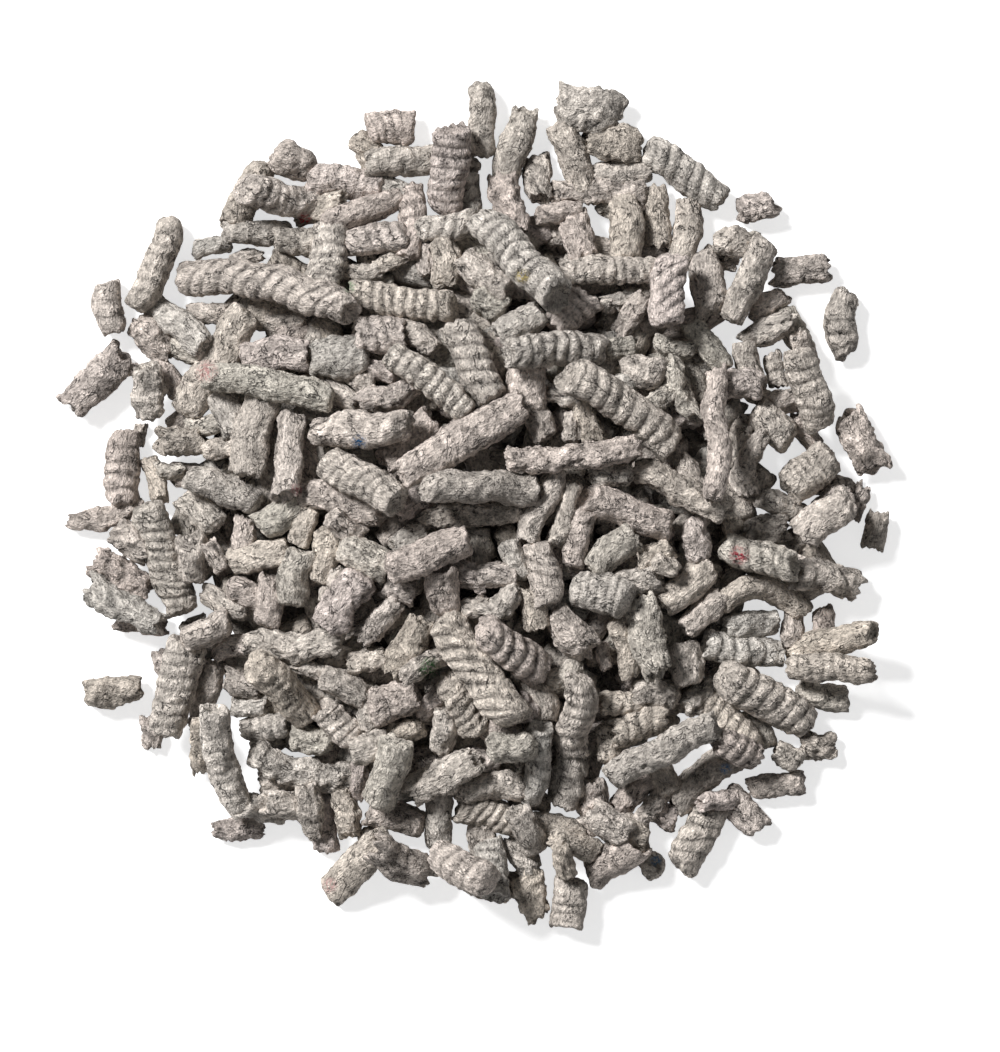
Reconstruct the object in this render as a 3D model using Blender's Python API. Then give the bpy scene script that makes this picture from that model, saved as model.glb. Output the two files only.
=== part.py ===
"""A round heap of recycled-paper litter pellets, as tipped out of its bag onto a flat floor.

The pellets that lie apart and those on top are pieces of their own. The rest lie under and
among them and are one piece, the bed, on a low mound that stands for the pellets inside.
Each pellet is a short rod of pressed paper pulp, laid by rule: in order from the floor up, it
comes to rest on the two highest supports below it, one on each side of its middle.
"""

import math

import bpy
import numpy as np
from mathutils import Vector
from mathutils.bvhtree import BVHTree

# Driving sizes, in metres: the heap, a usual pellet, the mound inside, the one-layer rim past
# the mound, the gap between free pellets, how deep the bed's pellets are pressed into each
# other, and the ridges that the press leaves
HEAP_WIDTH = 0.150
PELLET_WIDTH = 0.006
MOUND_HEIGHT = 0.016
RIM_WIDTH = 0.012
CLEARANCE = 0.0003
BED_SINK = 0.0007
RIDGE_PITCH = 0.003
RIDGE_DEPTH = 0.00035

# The same two widths and the heap's middle in the photograph, in its pixels
HEAP_WIDTH_PIXELS = 825
PELLET_WIDTH_PIXELS = 33
HEAP_MIDDLE_PIXELS = (478, 509)

# Ends as shares of a pellet's radius: how far its ends lie past the middles of its end rings,
# where its shoulder lies back from its end, and where its end face does, rounded or torn
END_REACH = 0.4
SHOULDER = 0.7
ROUND_TIP = 0.1
TORN_TIP = 0.3

# The bed's pellets have five sides. Their corners stand proud, so that each has its full volume.
BED_TIP = 0.6
BED_FLARE = 0.15

# How steeply a pellet may lie, and how far a loose one of the bed moves over at a time
STEEPEST_SLOPE = 0.6
CLOSING_STEP = 0.0003

# Sides round the tubes, and the sides and rings of the mound
FREE_SIDES = 6
RIDGED_SIDES = 6
BED_SIDES = 5
MOUND_SIDES = 24
MOUND_RINGS = 5

# Surfaces: ridged by the press, smooth, torn at its ends, and a short crumb
R = "ridged_pellet"
S = "smooth_pellet"
T = "torn_pellet"
C = "crumb"

PULP_ROUGHNESS = 0.95
PULP_COLOURS = {
    R: (0.42, 0.39, 0.35),
    S: (0.46, 0.43, 0.39),
    T: (0.40, 0.36, 0.33),
    C: (0.38, 0.36, 0.33),
}

# Pellets read from the photograph by eye, in its pixels, in layers from the floor up. Each row
# is a surface, the middles of the two end rings, the width, and how far a bent one bows.
BED_LAYERS = (
    (
        (S, 236, 232, 280, 234, 27, 0), (C, 238, 258, 256, 256, 14, 0), (C, 466, 157, 474, 165, 16, 0),
        (S, 386, 185, 402, 192, 25, 0), (S, 548, 215, 572, 212, 24, 0), (C, 604, 209, 616, 211, 16, 0),
        (S, 732, 243, 750, 242, 18, 0), (T, 712, 254, 728, 262, 18, 0), (S, 170, 346, 188, 352, 24, 0),
        (S, 165, 372, 176, 386, 24, 0), (C, 167, 469, 176, 470, 20, 0), (S, 788, 320, 799, 344, 26, 0),
        (S, 778, 402, 798, 399, 24, 0), (T, 130, 621, 154, 624, 26, 0), (C, 166, 665, 168, 669, 24, 0),
        (C, 203, 729, 209, 729, 24, 0), (S, 812, 553, 818, 560, 26, 0), (S, 792, 624, 790, 638, 26, 0),
        (S, 825, 620, 826, 632, 26, 0), (S, 329, 805, 327, 838, 26, 0), (S, 440, 796, 438, 836, 28, 0),
        (C, 374, 840, 378, 846, 30, 0), (C, 477, 882, 481, 884, 26, 0), (S, 484, 884, 502, 891, 18, 0),
        (S, 546, 827, 570, 833, 34, 0), (S, 622, 823, 630, 826, 30, 0), (C, 659, 816, 664, 817, 24, 0),
        (C, 630, 833, 634, 835, 26, 0), (T, 610, 839, 620, 844, 16, 0), (T, 517, 849, 527, 861, 30, 0),
        (S, 734, 804, 750, 820, 30, 0), (T, 524, 884, 534, 904, 32, 0), (T, 643, 853, 654, 866, 22, 0),
    ),
    (
        (R, 259, 178, 239, 214, 32, 0), (R, 382, 128, 400, 128, 32, 0), (C, 362, 144, 370, 158, 26, 0),
        (S, 480, 98, 483, 144, 30, 0), (S, 324, 182, 370, 188, 34, 0), (R, 410, 198, 410, 246, 27, 0),
        (C, 292, 242, 302, 242, 32, 0), (S, 352, 272, 374, 272, 18, 0), (C, 424, 250, 425, 270, 16, 0),
        (S, 522, 126, 509, 168, 34, 0), (T, 538, 168, 540, 188, 28, 0), (S, 566, 136, 582, 178, 34, 0),
        (T, 580, 109, 598, 115, 42, 0), (S, 607, 175, 639, 173, 28, 0), (T, 506, 190, 514, 222, 30, 0),
        (S, 655, 198, 657, 236, 26, 0), (T, 622, 300, 638, 296, 20, 0), (S, 761, 307, 775, 300, 26, 0),
        (S, 162, 310, 196, 340, 30, 0), (T, 147, 332, 160, 348, 30, 0), (S, 240, 326, 192, 400, 34, 0),
        (S, 197, 425, 216, 422, 22, 0), (C, 214, 449, 228, 446, 26, 0), (S, 224, 404, 234, 424, 28, 0),
        (T, 79, 520, 133, 505, 22, 6), (S, 192, 504, 208, 518, 30, 0), (S, 334, 390, 350, 400, 22, 0),
        (T, 406, 508, 416, 502, 24, 0), (S, 408, 332, 430, 344, 24, 0), (S, 526, 374, 526, 396, 38, 0),
        (S, 664, 345, 684, 350, 22, 0), (C, 606, 476, 614, 476, 30, 0), (C, 606, 305, 618, 301, 16, 0),
        (S, 746, 356, 750, 374, 28, 0), (C, 802, 342, 808, 356, 24, 0), (R, 773, 362, 778, 378, 20, 0),
        (S, 802, 424, 811, 438, 22, 0), (R, 829, 486, 839, 490, 24, 0), (S, 813, 522, 835, 504, 34, 0),
        (S, 754, 393, 766, 399, 18, 0), (C, 128, 541, 136, 546, 32, 0), (S, 214, 599, 236, 608, 24, 0),
        (S, 242, 705, 260, 705, 22, 0), (S, 335, 578, 331, 592, 26, 0), (S, 404, 542, 416, 536, 28, 0),
        (S, 370, 700, 372, 716, 26, 0), (S, 444, 718, 442, 740, 28, 0), (C, 472, 606, 477, 604, 22, 0),
        (S, 582, 520, 573, 554, 26, 0), (S, 531, 597, 535, 616, 28, 0), (R, 611, 702, 632, 700, 24, 0),
        (S, 540, 694, 541, 706, 30, 0), (S, 536, 740, 550, 730, 24, 0), (C, 603, 648, 606, 660, 16, 0),
        (S, 490, 609, 510, 597, 28, 0), (S, 512, 552, 520, 568, 24, 0), (S, 811, 527, 835, 509, 34, 0),
        (S, 732, 600, 792, 606, 28, -16), (S, 734, 625, 766, 622, 24, 0), (S, 751, 723, 759, 738, 30, 0),
        (T, 207, 736, 207, 758, 32, 0), (T, 252, 804, 272, 810, 28, 0), (C, 276, 782, 284, 782, 30, 0),
        (S, 277, 804, 297, 806, 28, 0), (T, 360, 768, 358, 792, 18, 0), (T, 311, 794, 313, 824, 28, 0),
        (T, 345, 800, 348, 824, 28, 0), (S, 380, 813, 410, 821, 30, 0), (S, 340, 881, 374, 850, 34, 0),
        (T, 386, 853, 414, 867, 34, 0), (T, 480, 830, 486, 858, 28, 0), (R, 470, 809, 516, 820, 32, 0),
        (T, 592, 796, 595, 816, 32, 0), (T, 624, 800, 644, 783, 26, 0), (S, 660, 768, 664, 780, 30, 0),
        (T, 657, 800, 644, 818, 20, 0), (S, 601, 819, 615, 829, 34, 0), (S, 564, 841, 586, 848, 26, 0),
        (S, 522, 822, 532, 838, 30, 0), (R, 490, 853, 494, 883, 30, 0), (S, 683, 793, 731, 754, 34, 0),
        (T, 709, 803, 725, 798, 22, 0), (S, 608, 738, 608, 748, 28, 0),
    ),
    (
        (R, 259, 193, 297, 201, 36, 0), (S, 378, 162, 440, 157, 33, 0), (T, 308, 214, 334, 204, 26, 0),
        (R, 330, 242, 324, 276, 40, 0), (R, 362, 243, 392, 240, 34, 0), (R, 428, 230, 462, 228, 30, 0),
        (T, 382, 268, 403, 256, 18, 0), (R, 364, 298, 440, 307, 34, 0), (T, 446, 250, 447, 272, 28, 0),
        (T, 603, 143, 623, 145, 38, 0), (T, 561, 191, 635, 195, 22, 0), (T, 576, 226, 580, 248, 30, 0),
        (S, 624, 214, 626, 250, 38, 0), (S, 688, 212, 683, 250, 30, 0), (S, 705, 268, 709, 298, 34, 0),
        (C, 652, 302, 656, 304, 24, 0), (C, 727, 245, 735, 245, 28, 0), (S, 202, 316, 218, 314, 24, 0),
        (T, 176, 443, 192, 443, 32, 0), (S, 260, 412, 249, 458, 36, 0), (S, 150, 466, 159, 492, 21, 0),
        (R, 126, 445, 122, 489, 34, 0), (C, 141, 429, 140, 440, 13, 0), (S, 256, 357, 298, 354, 32, 0),
        (T, 326, 358, 350, 355, 42, 0), (R, 370, 335, 388, 334, 38, 0), (T, 351, 376, 366, 392, 22, 0),
        (C, 378, 372, 384, 372, 22, 0), (S, 424, 430, 396, 456, 32, 0), (S, 304, 492, 368, 510, 28, 0),
        (T, 430, 517, 510, 512, 22, 0), (R, 464, 342, 484, 384, 42, 0), (C, 614, 349, 626, 348, 24, 0),
        (S, 512, 332, 528, 320, 36, 0), (R, 566, 322, 580, 308, 32, 0), (C, 640, 370, 646, 370, 30, 0),
        (C, 620, 383, 626, 384, 20, 0), (T, 556, 396, 568, 399, 22, 0), (T, 672, 372, 690, 408, 24, 0),
        (C, 570, 420, 572, 434, 18, 0), (S, 534, 410, 542, 428, 28, 0), (S, 570, 492, 556, 536, 22, 0),
        (S, 684, 468, 696, 486, 26, 0), (T, 652, 404, 666, 392, 22, 0), (T, 626, 324, 640, 306, 24, 0),
        (S, 697, 332, 716, 360, 27, 0), (C, 734, 385, 744, 386, 34, 0), (T, 756, 336, 778, 328, 30, 0),
        (S, 768, 420, 780, 430, 34, 0), (C, 741, 434, 740, 448, 19, 0), (S, 770, 502, 792, 510, 26, 0),
        (R, 154, 518, 177, 598, 34, 0), (T, 191, 548, 195, 568, 34, 0), (T, 213, 550, 220, 562, 24, 0),
        (S, 246, 526, 244, 544, 22, 0), (C, 245, 592, 251, 593, 28, 0), (S, 272, 588, 267, 612, 28, 0),
        (S, 212, 674, 203, 706, 24, 0), (S, 224, 650, 246, 646, 22, 0), (S, 236, 681, 252, 688, 26, 0),
        (R, 254, 728, 280, 725, 28, 0), (S, 306, 518, 300, 536, 24, 0), (S, 340, 522, 355, 531, 24, 0),
        (S, 272, 520, 288, 510, 32, 0), (S, 300, 564, 295, 588, 34, 0), (S, 328, 540, 325, 570, 28, 0),
        (S, 354, 553, 378, 567, 36, 0), (T, 452, 566, 476, 583, 26, 0), (S, 488, 575, 504, 575, 28, 0),
        (S, 443, 580, 445, 600, 32, 0), (T, 358, 661, 376, 656, 24, 0), (T, 368, 628, 392, 608, 26, 0),
        (C, 398, 588, 404, 590, 26, 0), (S, 302, 666, 316, 671, 20, 0), (T, 338, 681, 354, 689, 34, 0),
        (R, 332, 716, 350, 732, 34, 0), (S, 386, 706, 404, 697, 36, 0), (S, 427, 710, 438, 699, 18, 0),
        (S, 398, 731, 412, 728, 24, 0), (S, 372, 737, 388, 729, 22, 0), (R, 456, 690, 468, 720, 34, 0),
        (S, 602, 562, 624, 543, 32, 0), (S, 621, 628, 629, 664, 28, 0), (C, 695, 532, 697, 548, 30, 0),
        (S, 674, 598, 702, 573, 30, 0), (S, 555, 678, 572, 669, 24, 0), (R, 626, 727, 651, 721, 36, 0),
        (C, 684, 658, 686, 668, 36, 0), (C, 522, 702, 527, 712, 22, 0), (T, 498, 730, 516, 739, 34, 0),
        (T, 758, 530, 772, 528, 30, 0), (R, 716, 648, 766, 652, 30, 0), (S, 802, 647, 860, 635, 30, 0),
        (R, 711, 704, 741, 736, 38, 0), (T, 690, 698, 706, 689, 26, 0), (C, 308, 740, 316, 741, 30, 0),
        (C, 364, 747, 376, 743, 32, 0), (S, 468, 785, 514, 785, 32, 0), (C, 483, 757, 488, 759, 24, 0),
        (S, 540, 736, 534, 792, 28, 0), (T, 574, 756, 563, 790, 34, 0), (S, 563, 853, 566, 866, 22, 0),
        (R, 728, 746, 746, 752, 30, 0), (S, 474, 266, 498, 284, 34, 0), (C, 488, 304, 494, 306, 28, 0),
        (S, 606, 866, 626, 852, 38, 0),
    ),
    (
        (R, 452, 146, 447, 200, 36, 0), (S, 334, 222, 390, 202, 28, 0), (T, 372, 404, 408, 390, 28, 0),
        (T, 586, 400, 590, 432, 24, 0), (S, 553, 478, 530, 532, 26, 0), (S, 598, 503, 658, 523, 33, 0),
        (T, 644, 472, 716, 506, 30, 0), (T, 760, 444, 748, 484, 22, 8), (S, 244, 560, 276, 553, 28, 0),
        (T, 260, 645, 328, 645, 31, 0), (T, 353, 588, 334, 614, 36, 0), (T, 400, 660, 416, 634, 34, 0),
        (S, 412, 672, 438, 657, 22, 0), (R, 541, 556, 545, 592, 34, 0), (T, 642, 556, 658, 550, 28, 0),
        (C, 661, 563, 666, 566, 20, 0), (S, 629, 584, 645, 580, 32, 0), (T, 640, 612, 654, 658, 34, 0),
        (S, 693, 622, 713, 603, 28, 0), (T, 564, 624, 578, 638, 38, 0), (T, 644, 692, 664, 692, 30, 0),
        (T, 266, 754, 344, 774, 28, 10), (S, 393, 756, 384, 790, 36, 0), (C, 508, 745, 516, 745, 34, 0),
    ),
)
FREE_LAYERS = (
    (
        (R, 108, 293, 112, 325, 32, 0), (C, 200, 251, 226, 247, 20, 0), (C, 284, 158, 304, 166, 34, 0),
        (T, 748, 210, 764, 206, 34, 0), (T, 782, 270, 820, 268, 28, 0), (R, 845, 300, 846, 344, 30, 6),
        (T, 118, 362, 80, 402, 36, 0), (T, 148, 376, 150, 408, 36, 0), (T, 852, 424, 868, 460, 40, 0),
        (T, 861, 492, 856, 512, 18, 0), (T, 104, 567, 138, 586, 34, 0), (T, 96, 693, 132, 690, 34, 0),
        (T, 150, 724, 152, 742, 18, 0), (S, 877, 519, 874, 541, 25, 0), (S, 804, 692, 840, 698, 26, 0),
        (T, 222, 828, 254, 830, 24, 0), (R, 571, 890, 568, 916, 38, 0), (R, 708, 818, 686, 858, 35, 0),
        (S, 758, 786, 794, 782, 27, 0), (C, 785, 755, 789, 757, 26, 0), (T, 812, 745, 824, 745, 26, 0),
    ),
    (
        (R, 168, 228, 138, 300, 32, -5), (T, 98, 594, 152, 620, 30, 0),
    ),
    (
        (R, 654, 157, 716, 195, 32, 0), (R, 799, 360, 817, 420, 34, 0), (R, 796, 482, 820, 462, 40, 0),
        (R, 188, 652, 168, 722, 38, 0), (T, 806, 574, 846, 584, 34, 0), (R, 796, 668, 864, 670, 28, 0),
        (R, 447, 858, 479, 874, 39, 0),
    ),
    (
        (R, 192, 281, 340, 312, 38, -14), (R, 490, 226, 548, 290, 42, 0), (R, 570, 270, 648, 272, 30, 0),
        (R, 673, 266, 669, 316, 36, 3), (S, 763, 250, 734, 312, 30, 0), (S, 214, 374, 324, 398, 31, 0),
        (S, 198, 480, 250, 500, 34, 0), (R, 398, 357, 462, 408, 32, 0), (T, 324, 430, 396, 429, 36, 0),
        (S, 293, 420, 285, 488, 29, 0), (R, 410, 470, 512, 408, 36, 0), (R, 338, 466, 390, 496, 40, 0),
        (S, 436, 487, 524, 487, 34, 0), (R, 518, 352, 592, 350, 32, 0), (R, 578, 382, 664, 440, 37, -8),
        (T, 516, 457, 630, 448, 25, 4), (S, 712, 378, 713, 490, 25, -4), (S, 194, 638, 222, 626, 32, 0),
        (R, 219, 715, 241, 803, 30, 8), (R, 264, 670, 302, 706, 38, 0), (S, 400, 567, 460, 542, 36, 0),
        (R, 448, 628, 508, 712, 38, 0), (R, 494, 634, 532, 664, 38, 0), (R, 584, 587, 616, 599, 38, 0),
        (R, 580, 688, 573, 742, 34, 0), (S, 616, 771, 706, 726, 29, 0), (R, 734, 551, 784, 564, 36, 0),
        (R, 734, 680, 800, 718, 39, 0), (T, 418, 789, 466, 762, 32, 0),
    ),
)


class Pellet:
    """A pellet in plan: its middle, its direction, its half length, its bow and its radius."""

    def __init__(self, row, in_bed):
        self.surface, x1, y1, x2, y2, width, bow = row
        self.in_bed = in_bed
        metres = PELLET_WIDTH / PELLET_WIDTH_PIXELS
        right = (x1 + x2) / 2 - HEAP_MIDDLE_PIXELS[0]
        up = HEAP_MIDDLE_PIXELS[1] - (y1 + y2) / 2
        self.middle = np.array([right, up]) * HEAP_WIDTH / HEAP_WIDTH_PIXELS
        chord = np.array([x2 - x1, y1 - y2]) * metres
        length = np.hypot(*chord)
        self.along = chord / length
        self.across = np.array([self.along[1], -self.along[0]])
        self.radius = width / 2 * metres
        self.reach = max(length / 2 + END_REACH * self.radius, (1 - ROUND_TIP) * self.radius)
        self.bow = bow * metres
        self.height = 0.0
        self.slope = 0.0

    def plan(self, s):
        """Places in plan of the points at the distances s along the pellet from its middle."""
        sideways = self.bow * (1 - (s / self.reach) ** 2)
        return self.middle + np.outer(s, self.along) + np.outer(sideways, self.across)

    def balls(self):
        """Distances along the pellet of the centres of the balls that fill it."""
        end = max(self.reach - self.radius, 0.0)
        count = int(np.ceil(4 * end / self.radius)) + 1
        return np.linspace(-end, end, count)

    def ball_centres(self):
        """The centres in space of the balls that fill the pellet as it lies."""
        s = self.balls()
        return np.column_stack([self.plan(s), self.height + self.slope * s])

    def radius_at(self, s):
        """The radius at the distance s from the middle: full, then rounded to each end."""
        end = min(self.radius, self.reach)
        past = np.clip((np.abs(s) - self.reach + end) / end, 0, 1)
        return self.radius * np.sqrt(1 - past ** 2)


def mound_radius():
    """The mound stops one rim's width short of the heap's edge."""
    return HEAP_WIDTH / 2 - RIM_WIDTH


def mound_top(places):
    """Height and steepness of the mound, a low bowl turned over, at places in plan."""
    share = np.hypot(places[:, 0], places[:, 1]) / mound_radius()
    steepness = 2 * MOUND_HEIGHT * share / mound_radius()
    return MOUND_HEIGHT * (1 - share ** 2), steepness


def mound_shape():
    """The mound's corners and faces: rings on its curve, a top point and a flat underside."""
    corners = []
    for ring in range(MOUND_RINGS):
        share = 1 - ring / MOUND_RINGS
        radius = share * mound_radius()
        height = MOUND_HEIGHT * (1 - share ** 2)
        for index in range(MOUND_SIDES):
            angle = 2 * math.pi * index / MOUND_SIDES
            corners.append(Vector((radius * math.cos(angle), radius * math.sin(angle), height)))
    corners.append(Vector((0, 0, MOUND_HEIGHT)))
    faces = [tuple(reversed(range(MOUND_SIDES)))]
    for index in range(MOUND_SIDES):
        after = (index + 1) % MOUND_SIDES
        for ring in range(MOUND_RINGS - 1):
            start = ring * MOUND_SIDES
            above = start + MOUND_SIDES
            faces.append((start + index, start + after, above + after, above + index))
        last = (MOUND_RINGS - 1) * MOUND_SIDES
        faces.append((last + index, last + after, len(corners) - 1))
    return corners, faces


def tube_shape(pellet, stations, radii, sides, turn):
    """Corners and faces of a closed tube along the pellet, with a ring at each station."""
    places = pellet.plan(stations)
    heights = pellet.height + pellet.slope * stations
    corners = []
    for place, height, station, radius in zip(places, heights, stations, radii.tolist()):
        lean = -2 * pellet.bow * station / pellet.reach ** 2
        flat = Vector(pellet.along + lean * pellet.across).normalized()
        forward = Vector((flat.x, flat.y, pellet.slope)).normalized()
        side = Vector((flat.y, -flat.x, 0))
        up = side.cross(forward)
        centre = Vector((place[0], place[1], height))
        for index in range(sides):
            angle = 2 * math.pi * (index + turn) / sides - math.pi / 2
            corners.append(centre + radius * (math.cos(angle) * side + math.sin(angle) * up))
    faces = [tuple(range(sides))]
    for start in range(0, len(corners) - sides, sides):
        for index in range(sides):
            after = (index + 1) % sides
            faces.append((start + after, start + index, start + sides + index, start + sides + after))
    faces.append(tuple(reversed(range(len(corners) - sides, len(corners)))))
    return corners, faces


def bed_pellet_end(pellet):
    """How far the end faces of a pellet of the bed lie from its middle."""
    return pellet.reach - BED_TIP * min(pellet.radius, pellet.reach)


def bed_pellet_shape(pellet):
    """A pellet of the bed: a plain tube of two rings, with a flat side down."""
    outer = bed_pellet_end(pellet)
    radii = np.full(2, pellet.radius * (1 + BED_FLARE))
    return tube_shape(pellet, np.array([-outer, outer]), radii, BED_SIDES, 0.5)


def free_pellet_shape(pellet):
    """A free pellet: its end faces, its shoulders, and ridges and grooves along a ridged one."""
    end = min(pellet.radius, pellet.reach)
    tip = TORN_TIP if pellet.surface == T else ROUND_TIP
    outer = pellet.reach - tip * end
    inner = pellet.reach - SHOULDER * end
    if pellet.surface != R:
        stations = np.array([-outer, -inner, inner, outer])
        return tube_shape(pellet, stations, pellet.radius_at(stations), FREE_SIDES, 0)
    ridges = max(round(2 * inner / RIDGE_PITCH), 1)
    stations = np.array([-outer, *np.linspace(-inner, inner, 2 * ridges + 1), outer])
    radii = pellet.radius_at(stations)
    radii[2:-2:2] -= RIDGE_DEPTH
    return tube_shape(pellet, stations, radii, RIDGED_SIDES, 0)


class Heap:
    """The balls of every pellet laid so far, on which the next one comes to rest."""

    def __init__(self):
        self.centres = np.zeros((0, 3))
        self.radii = np.zeros(0)
        self.in_bed = np.zeros(0, dtype=bool)

    def needed_heights(self, pellet, s):
        """The lowest height at which each ball of the pellet clears what lies below it."""
        places = pellet.plan(s)
        top, steepness = mound_top(places)
        above = -BED_SINK if pellet.in_bed else CLEARANCE
        on_mound = top + (pellet.radius + above) * np.sqrt(1 + steepness ** 2)
        lowest = np.maximum(on_mound, pellet.radius)
        if not len(self.radii):
            return lowest
        bed_radii = np.where(self.in_bed, self.radii, pellet.radius)
        proud = np.where(self.in_bed ^ pellet.in_bed, BED_FLARE * bed_radii, 0)
        gap = np.where(self.in_bed & pellet.in_bed, -BED_SINK, CLEARANCE + proud)
        offsets = places[:, None, :] - self.centres[None, :, :2]
        room = (pellet.radius + self.radii + gap) ** 2 - (offsets ** 2).sum(axis=2)
        on_pellets = self.centres[:, 2] + np.sqrt(np.maximum(room, 0))
        return np.maximum(lowest, np.where(room > 0, on_pellets, 0).max(axis=1))

    def rest(self, pellet):
        """Lets the pellet down and tips it until it has a support on each side of its middle."""
        s = pellet.balls()
        needed = self.needed_heights(pellet, s)
        left = s <= 0
        right = s >= 0
        span = s[right][None, :] - s[left][:, None]
        rise = needed[right][None, :] - needed[left][:, None]
        slope = np.divide(rise, span, out=np.zeros_like(span), where=span > 0)
        crossing = needed[left][:, None] - slope * s[left][:, None]
        best = np.unravel_index(np.argmax(crossing), crossing.shape)
        pellet.slope = float(np.clip(slope[best], -STEEPEST_SLOPE, STEEPEST_SLOPE))
        pellet.height = float((needed - pellet.slope * s).max())
        if pellet.in_bed:
            clear_of_floor = abs(pellet.slope) * bed_pellet_end(pellet) + pellet.radius
            pellet.height = max(pellet.height, clear_of_floor)

    def add(self, pellet):
        """Lays the pellet, so that later ones rest on it."""
        self.rest(pellet)
        centres = pellet.ball_centres()
        self.centres = np.vstack([self.centres, centres])
        self.radii = np.append(self.radii, np.full(len(centres), pellet.radius))
        self.in_bed = np.append(self.in_bed, np.full(len(centres), pellet.in_bed))


def split_bed(bed):
    """The bed's pellets that a chain of touching ones joins to the mound, and the loose ones."""
    front = [BVHTree.FromPolygons(*mound_shape())]
    loose = {pellet: BVHTree.FromPolygons(*bed_pellet_shape(pellet)) for pellet in bed}
    while front:
        tree = front.pop()
        touching = [pellet for pellet, other in loose.items() if tree.overlap(other)]
        front.extend(loose.pop(pellet) for pellet in touching)
    return [pellet for pellet in bed if pellet not in loose], list(loose)


def way_to_bed(pellet, joined):
    """The way in plan from a loose pellet to its nearest joined neighbour, or to the mound."""
    own = pellet.ball_centres()
    nearest = np.hypot(own[:, 0], own[:, 1]).min() - mound_radius() - pellet.radius
    way = -pellet.middle
    for other in joined:
        offsets = other.ball_centres()[None, :, :] - own[:, None, :]
        gaps = np.sqrt((offsets ** 2).sum(axis=2)) - pellet.radius - other.radius
        if gaps.min() < nearest:
            nearest = gaps.min()
            way = offsets[np.unravel_index(np.argmin(gaps), gaps.shape)][:2]
    return way / np.hypot(*way)


def lay_heap():
    """Lays every pellet from the floor up, and again while loose ones of the bed close up."""
    pellets = []
    for bed_rows, free_rows in zip(BED_LAYERS, FREE_LAYERS):
        pellets.extend(Pellet(row, True) for row in bed_rows)
        pellets.extend(Pellet(row, False) for row in free_rows)
    bed = [pellet for pellet in pellets if pellet.in_bed]
    loose = bed
    while loose:
        heap = Heap()
        for pellet in pellets:
            heap.add(pellet)
        joined, loose = split_bed(bed)
        for pellet in loose:
            pellet.middle = pellet.middle + CLOSING_STEP * way_to_bed(pellet, joined)
    return bed, [pellet for pellet in pellets if not pellet.in_bed]


def piece(name, shapes, surface):
    """An object of one or more closed shapes, in its own paper pulp."""
    corners = []
    faces = []
    for shape_corners, shape_faces in shapes:
        start = len(corners)
        corners.extend(shape_corners)
        faces.extend(tuple(start + corner for corner in face) for face in shape_faces)
    mesh = bpy.data.meshes.new(name)
    mesh.from_pydata(corners, [], faces)
    pulp = bpy.data.materials.new(name + "_pulp")
    pulp.use_nodes = True
    principled = pulp.node_tree.nodes["Principled BSDF"]
    principled.inputs["Base Color"].default_value = (*PULP_COLOURS[surface], 1)
    principled.inputs["Roughness"].default_value = PULP_ROUGHNESS
    principled.inputs["Metallic"].default_value = 0
    mesh.materials.append(pulp)
    made = bpy.data.objects.new(name, mesh)
    bpy.context.collection.objects.link(made)
    return made


def heap_bed(pellets):
    """The mound and the bed's pellets as one solid, joined by a Boolean union."""
    bed = piece("heap_bed", [mound_shape()], S)
    cutter = piece("bed_pellets", [bed_pellet_shape(pellet) for pellet in pellets], S)
    cutter.hide_render = True
    cutter.display_type = "WIRE"
    union = bed.modifiers.new("pellets", "BOOLEAN")
    union.operation = "UNION"
    union.solver = "EXACT"
    union.use_self = True
    union.object = cutter
    return bed


def main():
    for old in list(bpy.data.objects):
        bpy.data.objects.remove(old)
    bed, free = lay_heap()
    heap_bed(bed)
    counts = dict.fromkeys(PULP_COLOURS, 0)
    for pellet in free:
        counts[pellet.surface] += 1
        name = f"{pellet.surface}_{counts[pellet.surface]:02d}"
        piece(name, [free_pellet_shape(pellet)], pellet.surface)


main()
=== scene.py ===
# %% [markdown]
# # A heap of paper litter pellets
# The real thing is a heap of short grey rods that lies on a white table. Waste paper is
# pulped, pressed through a die into rods about 6 mm thick, broken up and dried. The press
# leaves ridges across most rods, and the break leaves ragged ends.
#
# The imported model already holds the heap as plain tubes. This lesson gives each tube the
# skin of pressed pulp. The heap could be dropped anew with a physics simulation, but then no
# rod would lie where the model has it. So each rod is laid by the same rule as in the model,
# and its surface is worked out as a grid of points with numpy.

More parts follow.
